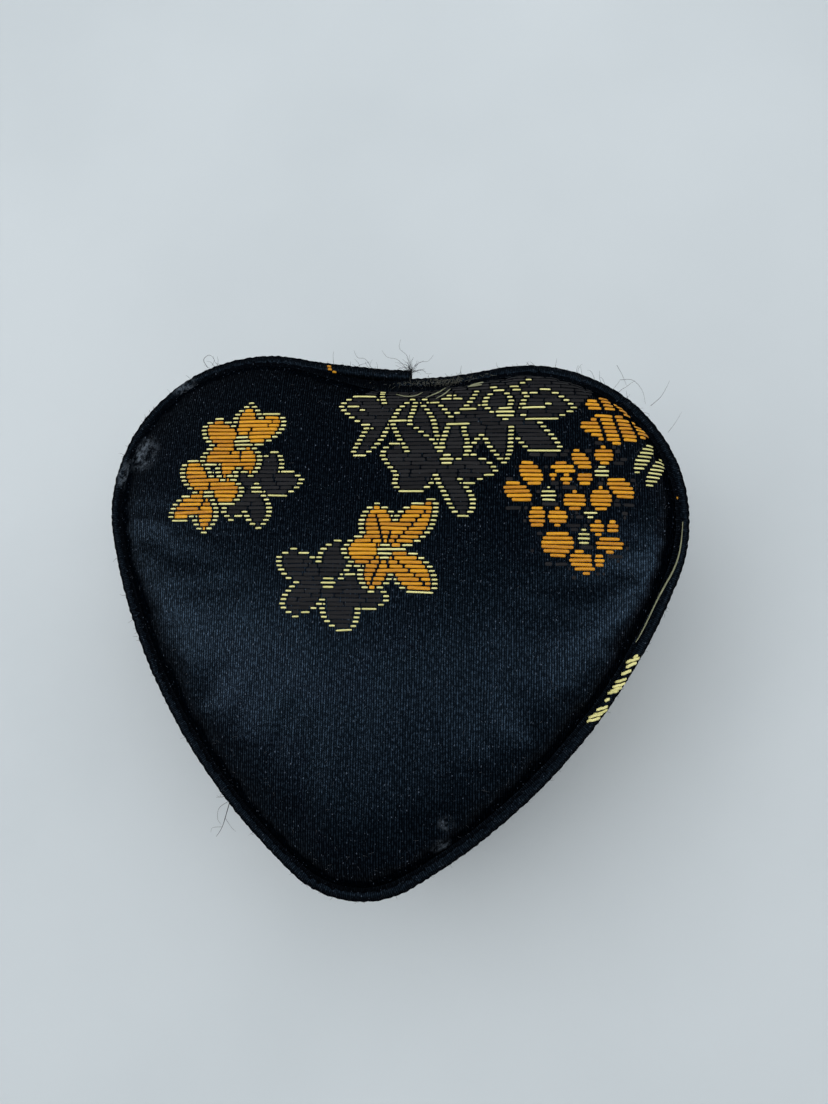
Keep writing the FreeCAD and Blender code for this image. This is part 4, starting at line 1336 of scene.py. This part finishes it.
def welt_specks(path):
    """Short stray floats of the pattern."""
    place, travelled = place_round(path, WELT_FLOAT_RADIUS)
    half = 0.35
    marks = [(travelled[nearest_mark(path, x, y)], around) for x, y, around in WELT_SPECKS]
    runs = [(mark - half, mark + half, around) for mark, around in marks]
    float_piece("welt_specks", runs, place, ORANGE, "lid", seed=73, width=0.5, slot="welt_satin")


def hair(rng, root, heading, length, radius=0.036 * MM, curl=0.16):
    """One loose fibre that wanders as it goes, curling to one side, and gets thinner."""
    segment, wobble = 0.35 * MM, 0.14
    points = [Vector(root)]
    heading = Vector(heading).normalized()
    steps = max(4, int(length / segment))
    drift = Vector((rng.gauss(0, 1), rng.gauss(0, 1), rng.gauss(0, 0.5))) * curl
    for _ in range(steps):
        jitter = Vector((rng.gauss(0, 1), rng.gauss(0, 1), rng.gauss(0, 0.6))) * wobble
        heading = (heading + jitter + drift).normalized()
        points.append(points[-1] + heading * length / steps)
    radii = [radius * (1 - 0.6 * k / steps) for k in range(steps + 1)]
    return tube_mesh(points, radii, 3)


def welt_fuzz(prefix, body, path, seed, tufts):
    """Worn threads standing off the piping. tufts lists x, y, spread, how many and how long, in mm."""
    rng = random.Random(seed)
    strands = []
    for x, y, spread, many, longest in tufts:
        for _ in range(many):
            mark = nearest_mark(path, x + rng.gauss(0, spread), y + rng.gauss(0, spread))
            here, after = Vector(path[mark]), Vector(path[min(mark + 1, len(path) - 1)])
            forward = (after - here).normalized()
            outward = forward.cross(Vector((0, 0, 1)))
            angle = rng.uniform(-0.4, 1.5)
            normal = outward * math.sin(angle) + Vector((0, 0, 1)) * math.cos(angle)
            lean = normal + forward * rng.gauss(0, 0.7)
            length = rng.uniform(0.3, 1) * longest * MM
            strands.append(hair(rng, here + normal * WELT_RADIUS * 0.9, lean, length))
    mesh_piece(f"{prefix}_loose_threads", join_meshes(strands), FUZZ, body=body, slot="welt_satin")


def seam_allowance():
    """The piping's flat edge, glued down on the board under the padded top."""
    board = low("lid_welt_cover", 2) + 2 * WELT_RADIUS - 0.4 * MM
    cloth = board + 0.25 * MM
    outer, inner = 1.3 * MM, 6 * MM
    profile = [(outer, board), (outer, cloth), (inner, cloth), (inner, board)]
    ring_piece("lid_seam_allowance", profile, WELT_SATIN, body="lid", slot="welt_satin")


def panel_lint(place, seed):
    """Short fibres lying on the panel, thickest along its lower edges."""
    rng = random.Random(seed)
    strands = []
    outline = heart_loop(HEART, 0) / MM
    fibres, beside_seam, further_in = 260, (3, 9), (3, 30)  # how many, and how far in, in mm
    for number in range(fibres):
        x, y = outline[rng.randrange(len(outline))]
        depth = rng.uniform(*(beside_seam if number % 3 else further_in))
        near = 1 - depth / max(20, math.hypot(x, y))
        point, normal = place(x * near, y * near)
        if point is None or (y > 10 and rng.random() < 0.5):
            continue
        heading = Vector((rng.gauss(0, 1), rng.gauss(0, 1), 0))
        heading -= normal * heading.dot(normal)
        length = rng.uniform(0.25, 1.1) * MM
        strands.append(hair(rng, point + normal * 0.04 * MM, heading, length, 0.022 * MM))
    mesh_piece("panel_lint", join_meshes(strands), DUST, body="lid", slot="brocade")


def cleft_lint(path):
    """Grey fluff caught where the piping's ends meet, and the frayed edge beside it."""
    rng = random.Random(91)
    strands = []
    half = len(path) // 2
    tail = path[half:]
    fibres, cleft_y = 420, 40.6
    for number in range(fibres):
        x = rng.gauss(8, 3.5) if number % 4 else rng.uniform(-11, 2)
        mark = nearest_mark(tail, x, cleft_y) + half
        here = Vector(path[mark])
        angle = rng.uniform(-1.4, 0.2)
        normal = Vector((0, math.sin(angle), math.cos(angle)))
        heading = Vector((rng.choice((-1, 1)), rng.gauss(0, 0.6), rng.gauss(0, 0.3)))
        length = rng.uniform(0.3, 1.2) * MM
        strands.append(hair(rng, here + normal * WELT_RADIUS, heading, length, 0.034 * MM, curl=0.4))
    mesh_piece("cleft_lint", join_meshes(strands), LINT, body="lid", slot="welt_satin")


SEAM_THREADS = (  # thickness, then x and y on the cloth, in mm
    (0.22, ((7.6, 36.4), (9.6, 37.6), (11.0, 38.9))),
    (0.2, ((9.4, 36.2), (10.8, 37.2), (11.8, 38.4))),
    (0.36, ((14.6, 38.7), (15.8, 38.9), (17.2, 38.9))),
    (0.36, ((15.0, 39.2), (16.2, 39.5), (17.4, 39.5))),
    (0.2, ((2.4, 37.4), (4.2, 36.8), (6.0, 37.0), (7.0, 38.1))),
)


def seam_threads(place):
    """Pattern threads pulled out of line beside the cleft."""
    strands = []
    for thickness, points in SEAM_THREADS:
        line = []
        for x, y in smooth_line(points)[::3]:
            point, normal = place(x, y)
            if point is not None:
                line.append(point + normal * 0.2 * MM)
        if len(line) > 3:
            shares = np.sin(np.linspace(0, math.pi, len(line)))
            strands.append(tube_mesh(line, thickness / 2 * MM * (0.4 + 0.6 * shares), 6))
    mesh_piece("seam_threads", join_meshes(strands), LINT_THREAD, body="lid", slot="brocade")


STRAY_THREADS = (  # thickness, then x, y and height above the middle of the piping, all in mm
    (0.05, ((37.6, 43.0, 1.0), (39.6, 42.6, 2.0), (41.2, 40.6, 2.4), (42.0, 38.4, 1.2))),
    (0.05, ((42.8, 38.6, 1.0), (44.2, 39.8, 2.0), (45.0, 41.3, 2.6), (45.5, 42.6, 3.0))),
    (0.04, ((45.8, 34.1, 1.0), (46.9, 35.8, 1.6), (47.8, 37.6, 2.2))),
    (0.05, ((36.8, 44.9, 2.6), (37.8, 43.4, 2.2), (38.9, 41.6, 1.0))),
    (0.07, ((-35.4, 42.4, 0.8), (-36.1, 43.6, 1.4), (-35.0, 44.4, 1.8), (-34.0, 43.6, 1.6),
            (-34.6, 42.5, 1.0))),
    (0.11, ((-21.4, -32.0, 0.4), (-22.4, -34.6, -1.4), (-23.2, -37.0, -2.4), (-24.4, -38.9, -3.2))),
    (0.05, ((-21.6, -32.2, 0.6), (-23.4, -33.6, -0.4), (-23.7, -35.4, -1.2), (-23.0, -36.6, -1.8))),
    (0.04, ((-22.6, -35.2, -1.6), (-21.4, -36.6, -1.8), (-20.6, -37.4, -2.4))),
    (0.04, ((-23.2, -36.8, -2.2), (-24.9, -37.2, -2.6), (-25.2, -38.2, -3.0))),
    (0.05, ((1.4, 43.2, 1.0), (-0.6, 44.8, 1.8), (-2.4, 45.0, 2.4), (-3.6, 46.4, 2.4))),
    (0.05, ((1.6, 43.4, 0.8), (1.0, 45.6, 1.6), (-0.4, 46.8, 2.2), (-0.2, 48.6, 2.6))),
    (0.05, ((1.9, 43.2, 0.6), (3.2, 44.6, 1.4), (4.8, 44.8, 1.8), (5.8, 46.2, 1.8))),
    (0.04, ((1.9, 43.0, 0.4), (3.6, 43.6, 0.8), (4.6, 42.8, 1.0), (5.8, 42.8, 1.2))),
    (0.05, ((-5.2, 43.4, 1.0), (-6.4, 44.8, 1.6), (-7.8, 45.0, 1.8), (-8.6, 46.4, 2.2))),
)


THREAD_BOOST = 1.4  # loose threads are made this much thicker, so that they show


def stray_threads():
    """The longest loose threads, each along its own line and thinner towards its end."""
    strands = []
    for thickness, points in STRAY_THREADS:
        line = smooth_line(points)[::4] * MM
        line[:, 2] += LID_WELT_Z
        radii = np.linspace(0.5, 0.2, len(line)) * thickness * MM * THREAD_BOOST
        strands.append(tube_mesh(line, radii, 5))
    mesh_piece("lid_stray_threads", join_meshes(strands), FUZZ, body="lid", slot="welt_satin")


def pale_groove_strand(path):
    """A thin pale strand along the piping, from its crest down into the groove."""
    place, travelled = place_round(path, WELT_RADIUS * 0.99)
    start = travelled[nearest_mark(path, 42.4, -4.4)]
    end = travelled[nearest_mark(path, 49.8, 19.0)]
    line, radii = [], []
    for share in np.linspace(0, 1, 61):
        around = -1.1 + 1.1 * share + 0.15 * math.sin(11 * share)
        point, normal = place(start + (end - start) * share, around)
        line.append(point + normal * 0.1 * MM)
        radii.append(0.15 * MM * (0.35 + 0.65 * math.sin(math.pi * share)))
    mesh_piece("pale_groove_strand", tube_mesh(line, radii, 6), LINT_THREAD, body="lid", slot="welt_satin")


LID_TUFTS = (  # x, y, spread, how many and how long, in mm
    (1.8, 42.6, 0.4, 34, 3.8), (-6.0, 43.0, 3.0, 20, 2.8), (7.0, 42.0, 3.0, 20, 1.8),
    (38.0, 40.0, 5.0, 22, 3.4), (-34.4, 42.3, 1.2, 10, 2.6), (-47.0, 30.0, 6.0, 20, 1.2),
    (-40.0, -14.0, 9.0, 24, 1.1), (-23.0, -32.0, 0.8, 5, 2.0), (0.0, -45.0, 14.0, 36, 0.9),
    (28.0, -28.0, 8.0, 26, 0.9), (47.0, 5.0, 10.0, 26, 0.9), (20.0, 45.0, 5.0, 14, 1.4),
)
BASE_TUFTS = ((1.8, 42.6, 0.5, 18, 2.4), (0.0, -45.0, 22.0, 40, 0.8), (46.0, 8.0, 12.0, 20, 0.8))


# ---------------------------------------------------------------- inside


NOTCH_HALF_WIDTH, NOTCH_FRONT = 30 * MM, 30 * MM  # the stretch at the back where the neck is cut down
NOTCH_SOFTNESS = 1.5 * MM
NECK_DROP = NECK_TOP_Z - BASE_RIM_Z


def smooth_notch(loop):
    """1 where the neck is cut down at the back, 0 elsewhere, with soft ends."""
    across = np.clip((NOTCH_HALF_WIDTH - np.abs(loop[:, 0])) / NOTCH_SOFTNESS + 0.5, 0, 1)
    behind = (loop[:, 1] > NOTCH_FRONT).astype(float)
    return across * behind


CLEARANCE = 0.02 * MM  # between a lining and the board behind it


def neck():
    """The lined collar inside the base that the lid slides over, cut down at the back."""
    outer = NECK_LINING_INSET + CLEARANCE
    inner = NECK_INSET - 0.55 * MM
    corners = [(outer, FLOOR_Z), (outer, NECK_TOP_Z), (inner, NECK_TOP_Z), (inner, FLOOR_Z)]
    profile = rounded(corners, 0.6 * MM, 5)

    def rise(loop, levels):
        lifted = levels > BASE_RIM_Z
        return levels - NECK_DROP * smooth_notch(loop) * lifted

    return ring_piece(
        "neck_satin", profile, LINING, rise=rise, body="base", replaced=("neck_lining", "neck_board"),
        slot="lining_satin",
    )


def floor_cushion():
    """A thin padded cushion on the floor of the box."""
    inset = CUSHION_INSET + 0.1 * MM
    cushion, edge = heart_sheet("floor_cushion", inset, 1.6 * MM, FLOOR_Z + 1.5 * MM, LINING)
    level = FLOOR_Z + 0.6 * MM
    lift_dome(
        cushion, inset, edge_level=level, shoulder_level=level + 1.2 * MM,
        top_level=CUSHION_TOP_Z - 0.4 * MM, shoulder=8 * MM,
    )
    inflate(cushion, edge, pressure=0.8, slack=0.03, cap=1.5 * MM)
    bake_modifier(cushion, "SUBSURF", levels=1, render_levels=1)
    pucker(cushion, inset, size=0.25 * MM, reach=6 * MM, seed=9)
    finish_pad(cushion, 0, "base", ("floor_satin", "floor_foam", "floor_card"))


def lid_lining():
    """Satin round the inside of the lid's wall."""
    outer, inner = LID_LINING_INSET + CLEARANCE, LID_LINING_INSET + 0.3 * MM
    top = LID_SHOULDER_Z - 0.1 * MM
    corners = [(outer, LID_RIM_Z), (inner, LID_RIM_Z), (inner, top), (outer, top)]
    ring_piece(
        "lid_wall_satin", rounded(corners, 0.12 * MM, 2), LINING, body="lid", replaced=("lid_wall_lining",),
        slot="lining_satin",
    )


def ceiling():
    """Padded satin ring round the mirror, bulging down between its outer edge and the cord."""
    top = high("ceiling_satin", 2)
    outer, opening = CEILING_INSET + 0.1 * MM, MIRROR_INSET - 0.1 * MM
    pad_edge, bulge = CEILING_INSET + 0.4 * MM, 0.75 * MM
    corners = [(outer, top), (outer, CEILING_Z + 0.5 * MM)]
    for t in np.linspace(0, 1, 9):
        inset = pad_edge + (TRIM_INSET - pad_edge) * t
        corners.append((inset, CEILING_Z - bulge * max(0.0, math.sin(math.pi * t)) ** 0.6))
    corners += [(opening, CEILING_Z), (opening, top)]
    ring_piece("ceiling_panel", corners, LINING, body="lid", replaced=("ceiling_satin",), slot="lining_satin")


def mirror():
    """Heart-shaped glass with a ground bevel."""
    back, front = high("lid_mirror", 2), MIRROR_Z
    heart = sample_heart(0.6 * MM)
    loops = [
        (MIRROR_INSET, back),
        (MIRROR_INSET, front + 0.7 * MM),
        (MIRROR_INSET + 0.15 * MM, front + 0.5 * MM),
        (MIRROR_INSET + 2.2 * MM, front),
    ]
    count = len(heart)
    vertices, faces = [], []
    for inset, level in loops:
        vertices.extend(np.column_stack([heart_loop(heart, inset), np.full(count, level)]))
    for row in range(len(loops) - 1):
        for column in range(count):
            square = grid_face(row, column, row + 1, (column + 1) % count, count)
            faces.append((square[0], square[3], square[2], square[1]))
    faces.append(tuple(range(count)))
    faces.append(tuple((len(loops) - 1) * count + k for k in reversed(range(count))))
    options = {"body": "lid", "replaced": ("lid_mirror",), "slot": "mirror", "smooth": False}
    add_object("heart_mirror", vertices, faces, MIRROR, **options)


def mirror_cord():
    """Two strands twisted round the mirror."""
    strand, twist, pitch = 0.42 * MM, 0.36 * MM, 2.6 * MM  # a strand's radius, its distance out, one turn
    heart = sample_heart(0.3 * MM)
    centre = heart_loop(heart, (TRIM_INSET + MIRROR_INSET) / 2)
    arc = arc_positions(heart)
    turns = round(arc[-1] / pitch)
    level = (MIRROR_Z + CEILING_Z) / 2
    strands = []
    for phase in (0, math.pi):
        points = []
        for number, (x, y) in enumerate(centre):
            angle = 2 * math.pi * turns * arc[number] / arc[-1] + phase
            out, up = twist * math.cos(angle), twist * math.sin(angle)
            points.append((x + out * heart[number, 2], y + out * heart[number, 3], level + up))
        strands.append(tube_mesh(points, strand, 8, closed=True))
    cord = join_meshes(strands)
    mesh_piece("mirror_cord", cord, GOLD, body="lid", replaced=("mirror_trim",), slot="trim_cord")


# ---------------------------------------------------------------- hinge


def strip(name, columns, rows, thickness, material, slot, replaced):
    """A cloth strip of the given thickness, over the columns and rows that it is given.

    columns are (x, y, normal x, normal y), and rows are (z, how far out), from the bottom up.
    """
    vertices = []
    for side in (0, 1):
        for level, out in rows:
            for x, y, nx, ny in columns:
                reach = out + thickness * (side - 0.5)
                vertices.append((x + nx * reach, y + ny * reach, level))
    wide, tall = len(columns), len(rows)
    layer = wide * tall
    faces, weave = [], []
    arc = [0.0]
    for (x0, y0, *_), (x1, y1, *_) in zip(columns, columns[1:]):
        arc.append(arc[-1] + math.hypot(x1 - x0, y1 - y0))

    def corner(row, column, side):
        return side * layer + row * wide + column

    def add(points):
        faces.append(tuple(corner(*p) for p in points))
        weave.extend((arc[column] / MM, rows[row][0] / MM) for row, column, _ in points)

    for row in range(tall - 1):
        for column in range(wide - 1):
            square = [(row, column), (row, column + 1), (row + 1, column + 1), (row + 1, column)]
            add([(r, c, 1) for r, c in square])
            add([(r, c, 0) for r, c in reversed(square)])
    for column in range(wide - 1):
        for row, order in ((0, 1), (tall - 1, -1)):
            points = [(row, column, 0), (row, column + 1, 0), (row, column + 1, 1), (row, column, 1)]
            add(points[::order])
    for row in range(tall - 1):
        for column, order in ((0, -1), (wide - 1, 1)):
            points = [(row, column, 0), (row + 1, column, 0), (row + 1, column, 1), (row, column, 1)]
            add(points[::order])
    piece = add_object(name, vertices, faces, material, replaced=replaced, slot=slot)
    set_weave(piece, weave)
    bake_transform(piece)
    return piece


def hinge_cloth():
    """Brocade across the back, from lobe to lobe, with a crease at the hinge's axis."""
    reach = LOBE_RADIUS - WALL_INSET + 0.25 * MM
    wrap, wrap_steps, bridge_steps = math.radians(14), 8, 40  # it goes this far round each lobe
    columns = []
    for step in range(wrap_steps + 1):
        angle = math.pi / 2 + wrap * (1 - step / wrap_steps)
        nx, ny = math.cos(angle), math.sin(angle)
        columns.append((-LOBE_X + reach * nx, LOBE_Y + reach * ny, nx, ny))
    bridge = [(-LOBE_X + 2 * LOBE_X * k / bridge_steps, LOBE_Y + reach, 0, 1) for k in range(1, bridge_steps)]
    columns += bridge + [(-x, y, -nx, ny) for x, y, nx, ny in reversed(columns)]
    crease, crease_width = 0.12 * MM, 0.6 * MM
    bottom, top = low("hinge_cloth", 2), high("hinge_cloth", 2)
    near_axis = [HINGE.z + k * 0.15 * MM for k in range(-8, 9)]
    levels = sorted({round(z, 6) for z in [*np.linspace(bottom, top, 21), *near_axis]})
    rows = [(z, -crease * math.exp(-(((z - HINGE.z) / crease_width) ** 2))) for z in levels]
    strip("hinge_cloth_strip", columns, rows, 0.36 * MM, BROCADE, "brocade", ("hinge_cloth",))


def hinge_lining():
    """Satin inside the back, with its slack bulging inwards while the lid is shut."""
    limit = NOTCH_HALF_WIDTH - 1.2 * MM
    outline = [tuple(point) for point in sample_heart(0.8 * MM)]
    behind = [point for point in outline if abs(point[0]) < limit and point[1] > NOTCH_FRONT]
    columns = sorted(behind, key=lambda point: point[0])
    bottom, top = low("hinge_lining", 2), high("hinge_lining", 2)
    lower, upper = NECK_INSET - 0.35 * MM, LID_LINING_INSET + 0.5 * MM
    slack = 3.6 * MM
    rows = []
    for z in np.linspace(bottom, top, 48):
        t = min(1.0, max(0.0, (z - HINGE.z) / (4.5 * MM)))
        bulge = slack * math.sin(math.pi * t) ** 1.2
        rows.append((float(z), -(lower + (upper - lower) * t * t * (3 - 2 * t) + bulge)))
    strip("hinge_lining_satin", columns, rows, 0.28 * MM, LINING, "lining_satin", ("hinge_lining",))


# ---------------------------------------------------------------- carried-over nodes


def dress_nodes():
    """Materials for the CAD pieces that keep their own shape."""
    materials = {
        "underside_felt": FELT,
        "bottom_board": FELT,
        "base_wall_board": GREYBOARD,
        "lid_wall_board": GREYBOARD,
        "lid_top_board": GREYBOARD,
        "ceiling_card": GREYBOARD,
    }
    for node, material in materials.items():
        mesh = frame["nodes"][node].data
        mesh.materials.clear()
        mesh.materials.append(material)


# ---------------------------------------------------------------- stage


BACKDROP = 0.3  # how bright the room itself looks behind the floor
FLOOR_HALF = 9.0  # half the side of the floor
AIM = (0, 0, 0.04)  # the lamps point here


LAMP_COLOUR, ROOM_COLOUR = (0.96, 0.98, 1.0), (0.94, 0.98, 1.0)


def area_light(name, place, aim, size, power, across=(1, 0, 0), mirrored=True, casts=True):
    """A rectangular lamp that the camera never shows, with its power in watts.

    size is its side along across and its other side. If mirrored, smooth cloth shows it as a shine; if it
    casts, it also lights matt surfaces and throws shadows on them.
    """
    light = bpy.data.lights.new(name, "AREA")
    light.shape = "RECTANGLE"
    light.size, light.size_y = size
    light.energy = power
    light.color = LAMP_COLOUR
    lamp = bpy.data.objects.new(name, light)
    SCENE.collection.objects.link(lamp)
    back = (Vector(place) - Vector(aim)).normalized()
    right = Vector(across)
    right = (right - back * right.dot(back)).normalized()
    turn = Matrix((right, back.cross(right), back)).transposed()
    lamp.matrix_world = Matrix.Translation(place) @ turn.to_4x4()
    lamp.visible_camera = False
    lamp.visible_glossy = mirrored
    lamp.visible_diffuse = casts


def sky():
    """A room that is bright at the left and right, and dark overhead, in front and behind."""
    world = bpy.data.worlds.new("studio")
    SCENE.world = world
    room = Nodes(world)
    place = room.node("ShaderNodeTexCoord").outputs["Generated"]
    split = room.node("ShaderNodeSeparateXYZ", {0: place})
    aside = room.maths("ABSOLUTE", split.outputs["X"])
    sides = room.graded(aside, 0.15, 0.8, 0.11, 0.7)
    above = room.graded(split.outputs["Z"], 0.75, 0.97, 1.0, 0.25)
    seen = room.node("ShaderNodeLightPath").outputs["Is Camera Ray"]
    strength = room.graded(seen, 0.0, 1.0, room.times(sides, above), BACKDROP)
    background = room.tree.nodes["Background"]
    room.set(background.inputs["Strength"], strength)
    room.set(background.inputs["Color"], ROOM_COLOUR)


def set_stage():
    corners = [(x * FLOOR_HALF, y * FLOOR_HALF, 0) for x, y in ((-1, -1), (1, -1), (1, 1), (-1, 1))]
    floor = add_object("floor", corners, [(0, 1, 2, 3)], table_top())
    sky()
    for name, x in (("left_strip", -0.53), ("right_strip", 0.53)):
        area_light(name, (x, -0.07, 0.6), AIM, (0.18, 0.4), 2.3, across=(0, 1, 0), casts=False)
    area_light("overhead", (-0.1, 0.0, 0.8), AIM, (0.4, 0.1), 0.1)
    area_light("soft_fill", (-0.06, 0.22, 0.72), AIM, (1.3, 1.1), 7.4, mirrored=False)


CAMERA_PLACE = Vector((23.9, -12.6, 176.2)) * MM
CAMERA_AIM = Vector((5.1, 11.3, 39.2)) * MM
CAMERA_LENS = 27.07
CAMERA_ROLL = math.radians(5.2)


def aim_camera():
    """A hand-held view from just in front of straight above, and a little to the right, slightly rolled."""
    camera_data = bpy.data.cameras.new("camera")
    camera_data.lens = CAMERA_LENS
    camera = bpy.data.objects.new("camera", camera_data)
    SCENE.collection.objects.link(camera)
    forward = (CAMERA_AIM - CAMERA_PLACE).normalized()
    level = forward.cross(Vector((0, 1, 0))).normalized()
    upright = level.cross(forward)
    across, along = math.cos(CAMERA_ROLL), math.sin(CAMERA_ROLL)
    right, up = level * across + upright * along, upright * across - level * along
    turn = Matrix((right, up, -forward)).transposed()
    camera.matrix_world = Matrix.Translation(CAMERA_PLACE) @ turn.to_4x4()
    SCENE.camera = camera
    SCENE.view_settings.view_transform = "Standard"


def build():
    on_panel = place_on(lid_panel())
    weave_floats("lid_flowers", lay_out_lid(), on_panel, "lid", seed=20)
    panel_lint(on_panel, seed=93)
    seam_threads(on_panel)
    wall_piece("base_wall_brocade", FLOOR_Z, BASE_RIM_Z, NECK_LINING_INSET, "base", ("base_wall_cover",))
    wall_piece("lid_wall_brocade", LID_SHOULDER_Z, LID_RIM_Z, LID_LINING_INSET, "lid", ("lid_wall_cover",))
    weave_walls()
    lid_path = piping("lid", "lid", LID_WELT_Z, seed=5)
    base_path = piping("base", "base", BASE_WELT_Z, seed=6)
    seam_allowance()
    welt_leaf(lid_path)
    welt_specks(lid_path)
    cleft_lint(lid_path)
    stray_threads()
    pale_groove_strand(lid_path)
    welt_fuzz("lid", "lid", lid_path, 81, LID_TUFTS)
    welt_fuzz("base", "base", base_path, 82, BASE_TUFTS)
    neck()
    floor_cushion()
    lid_lining()
    ceiling()
    mirror()
    mirror_cord()
    hinge_cloth()
    hinge_lining()
    dress_nodes()
    set_stage()
    aim_camera()


build()
